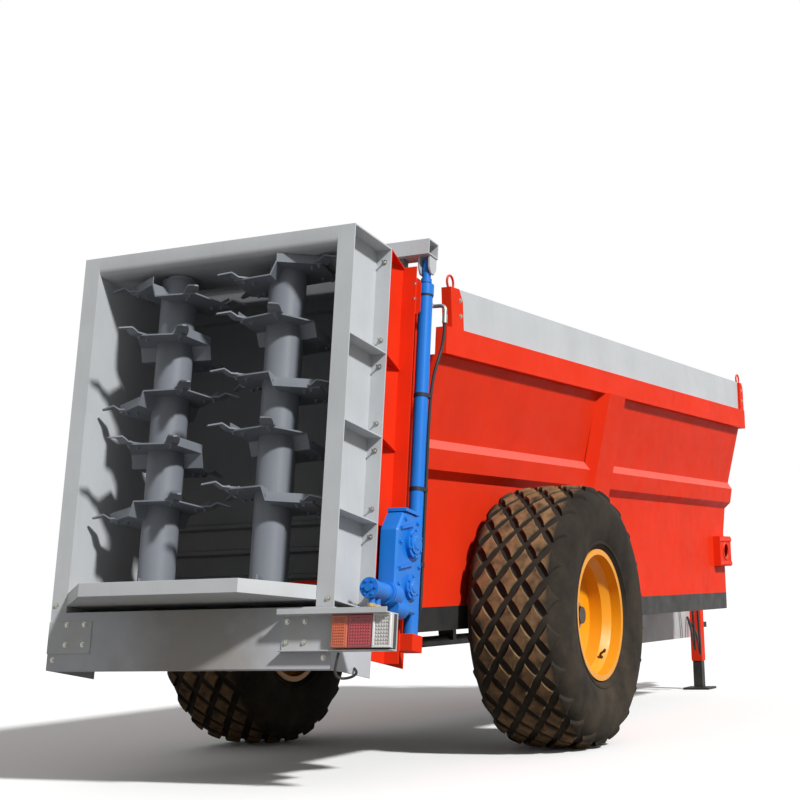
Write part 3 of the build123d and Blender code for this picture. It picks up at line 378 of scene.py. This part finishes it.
# How each finish is worn; its colour is a property of the scene
FINISHES = {
    # Red paint carries the painted sky reflection on its upward faces
    "red_paint": dict(rough=0.45, shine=0.03, dust=0.05, dust_top=1.0, streaks=0.10, wear=0.10,
                      upward_sheen=(0.45, SHEEN_TINT)),
    "grey_paint": dict(rough=0.46, shine=0.35, dust=0.40, dust_top=1.5, streaks=0.15, wear=0.10),
    "apron_paint": dict(rough=0.50, shine=0.3, dust=0.35, stain=(-0.10, 0.42, APRON_TINT)),
    # Door: dark grey that paints the shade inside the hopper over the door's grey
    "door_paint": dict(rough=0.55, shine=0.25, dust=0.30, dust_top=2.4, wear=0.25, streaks=0.3),
    "beater_paint": dict(rough=0.42, shine=0.3, dust=0.25, wear=0.30, streaks=0.2),
    # Chassis: near-black paint, made darker still as painted shade under the body
    "chassis_paint": dict(rough=0.5, shine=0.2, dust=0.16),
    "floor_steel": dict(rough=0.45, metallic=0.8, dust=0.5, wear=0.4),
    "blue_paint": dict(rough=0.36, shine=0.25, dust=0.20, wear=0.10),
    "rod_chrome": dict(rough=0.14, metallic=1.0, dust=0.05),
    "hose_rubber": dict(rough=0.55, shine=0.3, dust=0.3),
    "tyre_rubber": dict(rough=0.80, shine=0.10, dust=0.16, dust_top=2.2, bump=0.4, grain=160.0,
                        tread=(0.799, TREAD_TINT)),
    "rim_paint": dict(rough=0.36, shine=0.4, dust=0.22, dust_top=0.8, wear=0.08),
    "hub_paint": dict(rough=0.4, dust=0.25),
    "lamp_plastic": dict(rough=0.5, dust=0.3),
    "lens_amber": dict(rough=0.18, shine=0.6, dust=0.1, grain=90.0, bump=0.35),
    "lens_red": dict(rough=0.18, shine=0.6, dust=0.1, grain=90.0, bump=0.35),
    "lens_clear": dict(rough=0.15, shine=0.6, dust=0.1, grain=90.0, bump=0.35),
    "zinc": dict(rough=0.32, metallic=0.9, dust=0.25, wear=0.25),
    "brass": dict(rough=0.3, metallic=0.9, dust=0.15),
    "white_plastic": dict(rough=0.4, dust=0.15),
}


# Solids with a finish of their own
# The door panel takes a dark grey as painted shade of the hopper's interior
OWN_FINISH = {"rear_apron": "apron_paint", "door_panel": "door_paint"}


def made(name):
    """Finish by its name, made once."""
    colours = bpy.context.scene.spreader_colours
    worn = "worn_" + name
    return bpy.data.materials.get(worn) or finish(worn, tuple(getattr(colours, name)), **FINISHES[name])


def tint(label, value):
    return bpy.props.FloatVectorProperty(
        name=label, description="Colour of the " + label.lower(), default=value, size=3, min=0.0, max=1.0,
        subtype="COLOR",
    )


class SpreaderColours(bpy.types.PropertyGroup):
    """Colours of the finishes."""

    red_paint: tint("Red paint", (0.77, 0.034, 0.009))
    grey_paint: tint("Grey paint", (0.50, 0.52, 0.535))
    apron_paint: tint("Apron paint", (0.50, 0.52, 0.56))
    # Dark grey of the door: painted shade of the hopper's interior, not the door's own grey
    door_paint: tint("Door paint", (0.170, 0.176, 0.184))
    beater_paint: tint("Beater paint", (0.190, 0.206, 0.234))
    # Near-black chassis paint, darkened further as painted shade under the body
    chassis_paint: tint("Chassis paint", (0.020, 0.021, 0.022))
    floor_steel: tint("Floor steel", (0.30, 0.29, 0.28))
    blue_paint: tint("Blue paint", (0.010, 0.180, 0.640))
    rod_chrome: tint("Rod chrome", (0.78, 0.78, 0.80))
    hose_rubber: tint("Hose rubber", (0.018, 0.018, 0.019))
    tyre_rubber: tint("Tyre rubber", (0.020, 0.017, 0.014))
    rim_paint: tint("Rim paint", (0.80, 0.315, 0.005))
    hub_paint: tint("Hub paint", (0.018, 0.018, 0.019))
    lamp_plastic: tint("Lamp plastic", (0.03, 0.03, 0.03))
    lens_amber: tint("Amber lens", (0.58, 0.125, 0.050))
    lens_red: tint("Red lens", (0.42, 0.050, 0.062))
    lens_clear: tint("Clear lens", (0.55, 0.53, 0.52))
    zinc: tint("Zinc", (0.44, 0.43, 0.39))
    brass: tint("Brass", (0.60, 0.42, 0.16))
    white_plastic: tint("White plastic", (0.80, 0.79, 0.77))
    dust: tint("Dust", (0.30, 0.235, 0.165))


class SpreaderSizes(bpy.types.PropertyGroup):
    """Sizes of the tread and the fasteners."""

    block_length: bpy.props.FloatProperty(
        name="Block length", description="Tread block along the tyre", default=0.160, unit="LENGTH"
    )
    block_width: bpy.props.FloatProperty(
        name="Block width", description="Tread block across the tyre", default=0.114, unit="LENGTH"
    )
    block_height: bpy.props.FloatProperty(
        name="Block height", description="How far the tread blocks stand out", default=0.023, unit="LENGTH"
    )
    block_count: bpy.props.IntProperty(name="Blocks", description="Tread blocks in one column", default=22)
    column_gap: bpy.props.FloatProperty(
        name="Column gap", description="Distance between tread columns", default=0.079, unit="LENGTH"
    )
    frame_bolt: bpy.props.FloatProperty(
        name="Frame bolt", description="Width across flats of the frame's bolts", default=0.017, unit="LENGTH"
    )
    edge_round: bpy.props.FloatProperty(
        name="Edge round", description="Rounding of sheet-metal edges", default=0.0022, unit="LENGTH"
    )
    small_bolt: bpy.props.FloatProperty(
        name="Small bolt", description="Width across flats of bolts on covers and knives", default=0.017,
        unit="LENGTH",
    )


class SpreaderView(bpy.types.PropertyGroup):
    """Where the camera and lights stand, measured from the axle's middle on the ground."""

    camera: bpy.props.FloatVectorProperty(
        name="Camera", description="Place of the camera", default=(-9.936, -5.074, 0.985),
        subtype="TRANSLATION",
    )
    yaw: bpy.props.FloatProperty(
        name="Yaw", description="Turn from forward to the left", default=0.470, subtype="ANGLE"
    )
    pitch: bpy.props.FloatProperty(name="Pitch", description="Tilt upwards", default=0.110, subtype="ANGLE")
    roll: bpy.props.FloatProperty(
        name="Roll", description="Turn about the view", default=-0.029, subtype="ANGLE"
    )
    lens: bpy.props.FloatProperty(
        name="Lens", description="Focal length on a 36 mm sensor", default=77.34, unit="CAMERA"
    )
    key_strength: bpy.props.FloatProperty(name="Key strength", description="Strength of the sun", default=4.1)
    sky_strength: bpy.props.FloatProperty(
        name="Sky strength", description="Strength of the light from all round", default=0.35
    )
    floor: bpy.props.FloatVectorProperty(
        name="Floor", description="Colour of the floor", default=(0.92, 0.92, 0.91), subtype="COLOR"
    )


# Solids of folded sheet, whose edges are rounded
SHEET_NODES = (
    "beater_post_left", "beater_post_right", "pillar_left", "pillar_right", "rear_apron", "spreading_tray",
    "door_beam", "top_rail_left", "top_rail_right", "top_board_left", "top_board_right", "lamp_brackets",
    "access_step",
)


def soften(solid, width):
    """Round the edges of a sheet-metal piece and keep its faces flat to the eye."""
    flat = solid.modifiers.new("flat", "DECIMATE")
    flat.decimate_type = "DISSOLVE"
    flat.angle_limit = math.radians(1.0)
    edge = solid.modifiers.new("edge", "BEVEL")
    edge.width = width
    edge.segments = 2
    edge.limit_method = "ANGLE"
    edge.angle_limit = math.radians(40.0)
    even = solid.modifiers.new("even", "WEIGHTED_NORMAL")
    even.keep_sharp = True


class SPREADER_OT_finishes(bpy.types.Operator):
    """Give every solid its weathered finish and softened edges"""

    bl_idname = "spreader.finishes"
    bl_label = "Finishes"

    def execute(self, context):
        sizes = context.scene.spreader_sizes
        for part in frame["record"]["subparts"]:
            solid = NODES[part["node"]]
            solid.data.materials.clear()
            solid.data.materials.append(made(OWN_FINISH.get(part["node"], part["material_slot"])))
            normals = solid.data.attributes.get("custom_normal")
            if normals:
                solid.data.attributes.remove(normals)
            solid.data.shade_smooth()
            solid.modifiers.new("weld", "WELD").merge_threshold = 0.0001
            if part["node"] in SHEET_NODES:
                soften(solid, sizes.edge_round)
            else:
                split = solid.modifiers.new("split", "EDGE_SPLIT")
                split.split_angle = math.radians(32.0)
        return {"FINISHED"}


def tread_radius(y):
    """Radius of the carcass at a distance from the tyre's middle."""
    for (r0, y0), (r1, y1) in zip(TYRE_SECTION, TYRE_SECTION[1:]):
        if y1 <= abs(y) <= y0 and r0 > 0.68:
            return r0 + (r1 - r0) * (y0 - abs(y)) / (y0 - y1)
    return 0.68


class SPREADER_OT_tyres(bpy.types.Operator):
    """Build both tyres: rounded carcass with bead and wall rings, and staggered hollow-sided tread blocks"""

    bl_idname = "spreader.tyres"
    bl_label = "Tyres"

    def execute(self, context):
        sizes = context.scene.spreader_sizes
        steps = 132
        for name in ("left", "right"):
            low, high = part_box("tyre_" + name)
            middle = Vector((AXLE.x, (low[1] + high[1]) / 2, AXLE.z))
            bm = bmesh.new()
            outline = list(TYRE_SECTION) + [(r, -y) for r, y in reversed(TYRE_SECTION[:-1])]
            rings = []
            for i in range(steps):
                turn = 2.0 * math.pi * i / steps
                ring = [(r * math.cos(turn), y, r * math.sin(turn)) for r, y in outline]
                rings.append([bm.verts.new(middle + Vector(p)) for p in ring])
            count = len(outline)
            for i in range(steps):
                a, b = rings[i], rings[(i + 1) % steps]
                for k in range(count):
                    bm.faces.new((a[k], a[(k + 1) % count], b[(k + 1) % count], b[k]))
            for column in range(-3, 4):
                across = column * sizes.column_gap
                for i in range(sizes.block_count):
                    turn = 2.0 * math.pi * (i + 0.5 * (column % 2)) / sizes.block_count
                    self.block(bm, middle, across, turn, sizes)
            tyre = piece("tyre_tread_" + name, bm, "wheel_" + name, made("tyre_rubber"), 40.0)
            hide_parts("tyre_" + name)
        return {"FINISHED"}

    def block(self, bm, middle, across, turn, sizes):
        """Tread block with hollow sides and a rounded top edge, following the tyre's crown."""
        power = 2.0 / 0.84
        outline = []
        for k in range(20):
            a = 2.0 * math.pi * k / 20
            c, s = math.cos(a), math.sin(a)
            wide = math.copysign(min(abs(s) ** power, 0.90), s)
            long = math.copysign(abs(c) ** power, c)
            outline.append((long * sizes.block_length / 2, wide * sizes.block_width / 2))
        rings = []
        tall = sizes.block_height
        for scale, rise in ((1.06, -0.008), (1.0, tall - 0.005), (0.90, tall)):
            ring = []
            for along, wide in outline:
                y = across + wide * scale
                r = tread_radius(y) + rise
                a = turn + along * scale / 0.79
                ring.append(bm.verts.new(middle + Vector((r * math.cos(a), y, r * math.sin(a)))))
            rings.append(ring)
        r = tread_radius(across) + tall
        centre = bm.verts.new(middle + Vector((r * math.cos(turn), across, r * math.sin(turn))))
        for a, b in zip(rings, rings[1:]):
            for k in range(20):
                bm.faces.new((a[k], a[(k + 1) % 20], b[(k + 1) % 20], b[k]))
        for k in range(20):
            bm.faces.new((rings[-1][k], rings[-1][(k + 1) % 20], centre))
        bm.faces.new(reversed(rings[0]))


class SPREADER_OT_wheel_fittings(bpy.types.Operator):
    """Fit wheel nuts, hub cap screws and a valve stem to each wheel"""

    bl_idname = "spreader.wheel_fittings"
    bl_label = "Wheel fittings"

    def execute(self, context):
        sizes = context.scene.spreader_sizes
        for name, side in SIDES:
            low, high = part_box("tyre_" + name)
            middle = Vector((AXLE.x, (low[1] + high[1]) / 2, AXLE.z))
            out = Vector((0.0, side, 0.0))
            bm = bmesh.new()
            for i in range(WHEEL_NUTS):
                a = 2.0 * math.pi * (i + 0.5) / WHEEL_NUTS
                place = middle + out * NUT_FACE + Vector((math.cos(a), 0.0, math.sin(a))) * NUT_CIRCLE
                bolt(bm, place, out, sizes.frame_bolt * 1.6, 0.014)
            for i in range(CAP_SCREWS):
                a = 2.0 * math.pi * i / CAP_SCREWS
                place = middle + out * CAP_FACE + Vector((math.cos(a), 0.0, math.sin(a))) * CAP_CIRCLE
                bolt(bm, place, out, sizes.small_bolt * 0.8)
            piece("wheel_nuts_" + name, bm, "wheel_" + name, made("zinc"))
            stem = bmesh.new()
            inward = Vector((-math.cos(VALVE_TURN), 0.0, -math.sin(VALVE_TURN)))
            foot = middle + out * VALVE_OUT - inward * VALVE_R
            tip = foot + inward * 0.052 + out * 0.034
            sweep(stem, (foot, foot + inward * 0.022, foot + inward * 0.036 + out * 0.010, tip), 0.0075)
            drum(stem, turned_to(foot, inward), 16, 0.0, 0.009, 0.014, 0.011)
            drum(stem, turned_to(tip, tip - foot), 12, -0.004, 0.016, 0.0095, 0.0085)
            piece("valve_stem_" + name, stem, "wheel_" + name, made("hose_rubber"))
        return {"FINISHED"}


class SPREADER_OT_frame_bolts(bpy.types.Operator):
    """Bolt the posts, pillars, uprights, apron and lamp plates"""

    bl_idname = "spreader.frame_bolts"
    bl_label = "Frame bolts"

    def execute(self, context):
        sizes = context.scene.spreader_sizes
        size = sizes.frame_bolt
        back = -LEAN_DEPTH
        bm = bmesh.new()
        for name, side in SIDES:
            for low, high in zip(RIBS, RIBS[1:]):
                for height in (low + 0.078, high - 0.070):
                    place = lean(POST_DEPTH - PLATE_T, side * (POST_WEB + 0.058), height)
                    bolt(bm, place, back, size, 0.022)
            for height in (2.228, 2.140):
                bolt(bm, lean(0.730, side * 0.866, height), back, size * 0.9)
            bolt(bm, lean(0.0, side * 0.842, 0.352), back, size)
            bolt(bm, lean(0.0, side * 0.835, 0.056), back, size)
            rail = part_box("top_rail_" + name)
            face = rail[1][1] if side > 0 else rail[0][1]
            for ahead in (-1.046, 4.745):
                for height in (2.632, 2.540):
                    bolt(bm, Vector((AXLE.x + ahead, face, height)), (0.0, side, 0.0), size * 0.9)
        for y in (0.640, 0.755):
            for height in (0.243, 0.136):
                bolt(bm, lean(-0.006, y, height), back, size)
        for y in (-0.620, -0.722):
            for height in (0.236, 0.132):
                bolt(bm, lean(-0.006, y, height), back, size)
        piece("frame_bolts", bm, "chassis", made("zinc"))
        return {"FINISHED"}


class SPREADER_OT_beater_bolts(bpy.types.Operator):
    """Bolt the knives to the flights and the paddles to their discs"""

    bl_idname = "spreader.beater_bolts"
    bl_label = "Beater bolts"

    def execute(self, context):
        size = context.scene.spreader_sizes.small_bolt
        for name, side in SIDES:
            bm = bmesh.new()
            for i, turn in enumerate(LEVEL_TURNS):
                height = LEVEL_LOW + LEVEL_OFFSETS[name] + LEVEL_RISE * i
                for corner, drop in KNIVES:
                    a = math.radians(turn + corner)
                    for r in (FLIGHT_R - 0.078, FLIGHT_R - 0.024):
                        d = BEATER_DEPTH + r * math.cos(a)
                        y = side * (BEATER_SIDE + r * math.sin(a))
                        bolt(bm, lean(d, y, height - drop + 2 * PLATE_T), LEAN_UP, size)
                        bolt(bm, lean(d, y, height - drop), -LEAN_UP, size, 0.004)
            for i in range(4):
                a = math.radians(PADDLE_TURNS[name] + 90.0 * i)
                along = LEAN_DEPTH * math.cos(a) + Vector((0.0, side * math.sin(a), 0.0))
                across = LEAN_DEPTH * -math.sin(a) + Vector((0.0, side * math.cos(a), 0.0))
                foot = lean(BEATER_DEPTH, side * BEATER_SIDE, TUBE_FOOT)
                for r in (0.17, 0.27):
                    bolt(bm, foot + along * r - across * 0.005 + LEAN_UP * 0.046, -across, size)
                    bolt(bm, foot + along * r + across * 0.036 + LEAN_UP * PLATE_T, LEAN_UP, size)
            piece("beater_bolts_" + name, bm, "rotor_" + name, made("beater_paint"))
        return {"FINISHED"}


class SPREADER_OT_hydraulics(bpy.types.Operator):
    """Fit elbows, hoses, seal rings and hose straps to the lift cylinders"""

    bl_idname = "spreader.hydraulics"
    bl_label = "Hydraulics"

    def execute(self, context):
        port = CYL_TOP - PORT_DROP
        face = CYL_DEPTH + CYL_R + 0.026
        ahead = face + 0.022
        for name, side in SIDES:

            def at(depth, out, height):
                return lean(depth, side * (CYL_SIDE + out), height)

            def beside(height, reach=CYL_R + HOSE_R):
                return at(CYL_DEPTH + reach * math.cos(HOSE_TURN), reach * math.sin(HOSE_TURN), height)

            bm = bmesh.new()
            drum(bm, turned_to(at(face - 0.020, 0.0, port), LEAN_DEPTH), 6, 0.0, 0.018, 0.019)
            bend = [at(face - 0.004, 0.0, port), at(ahead, 0.0, port), at(ahead, ELBOW_REACH, port)]
            sweep(bm, smooth(bend + [at(ahead, ELBOW_REACH, port - 0.062)]), HOSE_R + 0.0025)
            foot = at(ahead, ELBOW_REACH, port - 0.056)
            drum(bm, turned_to(foot, -LEAN_UP), 16, 0.0, 0.050, HOSE_R + 0.006)
            piece("hose_elbow_" + name, bm, "chassis", made("zinc"))
            run = bmesh.new()
            low = CYL_LOW + HOSE_FOOT
            route = [foot, at(ahead, ELBOW_REACH, port - 0.220), beside(STRAPS[0] + 0.15, 0.066)]
            route += [beside(height) for height in STRAPS] + [beside(low + 0.090), beside(low)]
            route += [at(CYL_DEPTH + CYL_R + HOSE_R, 0.0, low), at(CYL_DEPTH + CYL_R + HOSE_R, -0.104, low)]
            sweep(run, smooth(route), HOSE_R)
            hose = piece("hose_run_" + name, run, "chassis", made("hose_rubber"))
            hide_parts("cylinder_hose_" + name)
            straps = bmesh.new()
            for height in STRAPS:
                around = [math.radians(50.0 + 260.0 * k / 24) for k in range(25)]
                loop = [(0.0425 * math.cos(a), 0.0425 * math.sin(a)) for a in around]
                tip = [math.radians(-70.0 + 140.0 * k / 10) for k in range(11)]
                loop += [(0.049 + 0.012 * math.cos(a), 0.012 * math.sin(a)) for a in tip]
                c, s = math.cos(HOSE_TURN), math.sin(HOSE_TURN)
                loop = [(CYL_DEPTH + a * c - b * s, a * s + b * c) for a, b in loop]
                slab(straps, [at(depth, out, height) for depth, out in loop], LEAN_UP * 0.022)
            drum(straps, turned_to(at(CYL_DEPTH, 0.0, CYL_TOP - 0.070), LEAN_UP), 40, 0.0, 0.010, 0.0432)
            piece("hose_straps_" + name, straps, "chassis", made("hose_rubber"))
        return {"FINISHED"}


class SPREADER_OT_gearbox_fittings(bpy.types.Operator):
    """Bolt the floor gearbox's covers and motor, and fit the motor's ports"""

    bl_idname = "spreader.gearbox_fittings"
    bl_label = "Gearbox fittings"

    def execute(self, context):
        size = context.scene.spreader_sizes.small_bolt
        out = Vector((0.0, -1.0, 0.0))
        face = -(FRAME_HALF + 0.100)
        middle = 0.6232
        bm = bmesh.new()
        for height, radius, proud in GEARBOX_COVERS:
            for i in range(6):
                a = 2.0 * math.pi * (i + 0.5) / 6
                along, up = 0.86 * radius * math.cos(a), 0.86 * radius * math.sin(a)
                bolt(bm, lean(middle + along, face - proud, height + up), out, size * 0.75)
            boss = turned_to(lean(middle, face - proud - 0.008, height), out)
            drum(bm, boss, 24, 0.0, 0.006, radius * 0.5, radius * 0.4)
        for depth, height in GEARBOX_BOLTS:
            bolt(bm, lean(depth, face, height), out, size)
        motor = -(FRAME_HALF + 0.062)
        for i in range(6):
            a = 2.0 * math.pi * i / 6
            place = lean(0.241, motor + 0.038 * math.cos(a), 0.440 + 0.038 * math.sin(a))
            bolt(bm, place, -LEAN_DEPTH, size * 0.7)
        piece("gearbox_bolts", bm, "chassis", made("blue_paint"))
        ports = bmesh.new()
        for depth in (0.281, 0.341):
            stand = turned_to(lean(depth, motor, 0.364), -LEAN_UP)
            drum(ports, stand, 6, 0.0, 0.016, 0.021)
            drum(ports, stand, 16, 0.016, 0.040, 0.013, 0.012)
            drum(ports, stand, 6, 0.040, 0.054, 0.017)
        piece("motor_ports", ports, "chassis", made("brass"))
        return {"FINISHED"}


class SPREADER_OT_lamp_fittings(bpy.types.Operator):
    """Raise the lens patterns and frame the clear lens"""

    bl_idname = "spreader.lamp_fittings"
    bl_label = "Lamp fittings"

    def execute(self, context):
        front = -LAMP_D
        top = LAMP_LOW + LAMP_H
        for slot, start, end, columns, rows in (
            ("lens_amber", 0.0, 0.28, 6, 10), ("lens_red", 0.28, 0.70, 8, 9), ("lens_clear", 0.70, 1.0, 5, 8)
        ):
            inner = LAMP_SIDE + LAMP_W * start + 0.014
            wide = LAMP_W * (end - start) - 0.028
            tall = LAMP_H - 0.028
            bm = bmesh.new()
            for i in range(columns):
                for k in range(rows):
                    y = -(inner + wide * (i + 0.5) / columns)
                    h = LAMP_LOW + 0.014 + tall * (k + 0.5) / rows
                    a, b = 0.44 * wide / columns, 0.44 * tall / rows
                    low = [bm.verts.new(lean(front + 0.0005, y + p * a, h + q * b)) for p, q in
                           ((-1, -1), (1, -1), (1, 1), (-1, 1))]
                    peak = [bm.verts.new(lean(front - 0.0032, y + p * a * 0.45, h + q * b * 0.45)) for p, q in
                            ((-1, -1), (1, -1), (1, 1), (-1, 1))]
                    for j in range(4):
                        bm.faces.new((low[j], low[(j + 1) % 4], peak[(j + 1) % 4], peak[j]))
                    bm.faces.new(peak)
                    bm.faces.new(reversed(low))
            piece(slot + "_prisms", bm, "chassis", made(slot), 20.0)
        bm = bmesh.new()
        outer = LAMP_SIDE + LAMP_W
        inner = LAMP_SIDE + LAMP_W * 0.70
        rim = 0.010
        bars = (
            (inner, outer, LAMP_LOW, LAMP_LOW + rim), (inner, outer, top - rim, top),
            (inner, inner + rim, LAMP_LOW + rim, top - rim), (outer - rim, outer, LAMP_LOW + rim, top - rim),
        )
        for a, b, low, high in bars:
            corners = [lean(front + 0.004, -a, low), lean(front + 0.004, -b, low)]
            corners += [lean(front + 0.004, -b, high), lean(front + 0.004, -a, high)]
            slab(bm, corners, LEAN_DEPTH * -0.010)
        frame_piece = piece("lens_frame", bm, "chassis", made("white_plastic"))
        edge = frame_piece.modifiers.new("edge", "BEVEL")
        edge.width = 0.0015
        return {"FINISHED"}


class SPREADER_OT_hoses(bpy.types.Operator):
    """Hang the hoses at the front and the lamp's lead"""

    bl_idname = "spreader.hoses"
    bl_label = "Hoses"

    def execute(self, context):
        path = ((4.844, 0.0, 1.20), (5.00, -0.005, 1.19), (5.13, -0.015, 0.90), (5.17, -0.015, 0.52),
                (5.22, 0.0, 0.36), (5.30, 0.030, 0.40), (5.35, 0.080, 0.62), (5.40, 0.118, 0.66))
        for name, shift, drop in (("front_hose_a", 0.0, 0.0), ("front_hose_b", -0.034, 0.045)):
            points = [Vector((AXLE.x + x + drop, -0.290 + y + shift, z - drop)) for x, y, z in path]
            points[0].x = AXLE.x + 4.844
            points[-1].y = -0.172
            cord(name, points, 0.011)
        lead = ((-0.02, -0.930, 0.078), (-0.02, -0.920, 0.030), (-0.015, -0.910, -0.022),
                (0.02, -0.920, -0.046), (0.10, -0.940, -0.032), (0.19, -0.930, 0.004), (0.24, -0.880, 0.030))
        cord("lamp_lead", [lean(d, y, h) for d, y, h in lead], 0.007)
        return {"FINISHED"}


class SPREADER_OT_stage(bpy.types.Operator):
    """Set the pale floor, the soft light and the camera"""

    bl_idname = "spreader.stage"
    bl_label = "Stage"

    def execute(self, context):
        settings = context.scene.spreader_view
        ground = bpy.data.meshes.new("floor")
        half = 60.0
        corners = [(-half, -half, 0), (half, -half, 0), (half, half, 0), (-half, half, 0)]
        ground.from_pydata(corners, [], [(0, 1, 2, 3)])
        floor = bpy.data.objects.new("floor", ground)
        context.scene.collection.objects.link(floor)
        pale = bpy.data.materials.new("pale_floor")
        pale.use_nodes = True
        shader = pale.node_tree.nodes["Principled BSDF"]
        shader.inputs["Base Color"].default_value = (*settings.floor, 1.0)
        shader.inputs["Roughness"].default_value = 0.9
        dull = node(pale.node_tree, "ShaderNodeBsdfDiffuse", Color=(0.22, 0.21, 0.20, 1.0))
        choice = pale.node_tree.nodes.new("ShaderNodeMixShader")
        link(pale.node_tree, seen_rays(pale.node_tree), choice.inputs[0])
        link(pale.node_tree, dull.outputs[0], choice.inputs[1])
        link(pale.node_tree, shader.outputs[0], choice.inputs[2])
        link(pale.node_tree, choice.outputs[0], pale.node_tree.nodes["Material Output"].inputs["Surface"])
        ground.materials.append(pale)
        sun = bpy.data.lights.new("key", "SUN")
        sun.energy = settings.key_strength
        sun.angle = math.radians(5)
        lamp = bpy.data.objects.new("key", sun)
        lamp.rotation_euler = Vector((-0.38, -0.86, 0.78)).to_track_quat("Z", "Y").to_euler()
        context.scene.collection.objects.link(lamp)
        world = bpy.data.worlds.new("studio")
        world.use_nodes = True
        tree = world.node_tree
        dim = tree.nodes["Background"]
        dim.inputs["Color"].default_value = (1.0, 1.0, 1.0, 1.0)
        dim.inputs["Strength"].default_value = settings.sky_strength
        white = node(tree, "ShaderNodeBackground", Color=(1, 1, 1, 1), Strength=1.0)
        choose = tree.nodes.new("ShaderNodeMixShader")
        link(tree, seen_rays(tree), choose.inputs[0])
        link(tree, dim.outputs[0], choose.inputs[1])
        link(tree, white.outputs[0], choose.inputs[2])
        link(tree, choose.outputs[0], tree.nodes["World Output"].inputs["Surface"])
        context.scene.world = world
        lens = bpy.data.cameras.new("camera")
        lens.sensor_width = 36.0
        lens.lens = settings.lens
        camera = bpy.data.objects.new("camera", lens)
        context.scene.collection.objects.link(camera)
        yaw, pitch, roll = settings.yaw, settings.pitch, settings.roll
        ahead = Vector((math.cos(yaw) * math.cos(pitch), math.sin(yaw) * math.cos(pitch), math.sin(pitch)))
        side = Vector((math.sin(yaw), -math.cos(yaw), 0))
        above = side.cross(ahead)
        right = side * math.cos(roll) + above * math.sin(roll)
        up = above * math.cos(roll) - side * math.sin(roll)
        turn = Matrix((right, up, -ahead)).transposed().to_4x4()
        place = Vector(settings.camera) + Vector((AXLE.x, 0, 0))
        camera.matrix_world = Matrix.Translation(place) @ turn
        context.scene.camera = camera
        context.scene.view_settings.view_transform = "Standard"
        return {"FINISHED"}


class SPREADER_PT_panel(bpy.types.Panel):
    """Steps that dress the spreader"""

    bl_idname = "SPREADER_PT_panel"
    bl_label = "Spreader"
    bl_space_type = "VIEW_3D"
    bl_region_type = "UI"
    bl_category = "Spreader"

    def draw(self, context):
        for step in STEPS:
            self.layout.operator(step.bl_idname)


STEPS = (
    SPREADER_OT_finishes,
    SPREADER_OT_tyres,
    SPREADER_OT_wheel_fittings,
    SPREADER_OT_frame_bolts,
    SPREADER_OT_beater_bolts,
    SPREADER_OT_hydraulics,
    SPREADER_OT_gearbox_fittings,
    SPREADER_OT_lamp_fittings,
    SPREADER_OT_hoses,
    SPREADER_OT_stage,
)
SETTINGS = (
    ("spreader_colours", SpreaderColours),
    ("spreader_sizes", SpreaderSizes),
    ("spreader_view", SpreaderView),
)
CLASSES = (*(group for name, group in SETTINGS), *STEPS, SPREADER_PT_panel)


def register():
    for cls in CLASSES:
        bpy.utils.register_class(cls)
    for name, group in SETTINGS:
        setattr(bpy.types.Scene, name, bpy.props.PointerProperty(type=group))


def unregister():
    for setting in SETTINGS:
        delattr(bpy.types.Scene, setting[0])
    for cls in reversed(CLASSES):
        bpy.utils.unregister_class(cls)


def main():
    register()
    bpy.ops.spreader.finishes()
    bpy.ops.spreader.tyres()
    bpy.ops.spreader.wheel_fittings()
    bpy.ops.spreader.frame_bolts()
    bpy.ops.spreader.beater_bolts()
    bpy.ops.spreader.hydraulics()
    bpy.ops.spreader.gearbox_fittings()
    bpy.ops.spreader.lamp_fittings()
    bpy.ops.spreader.hoses()
    bpy.ops.spreader.stage()


if __name__ == "__main__":
    main()
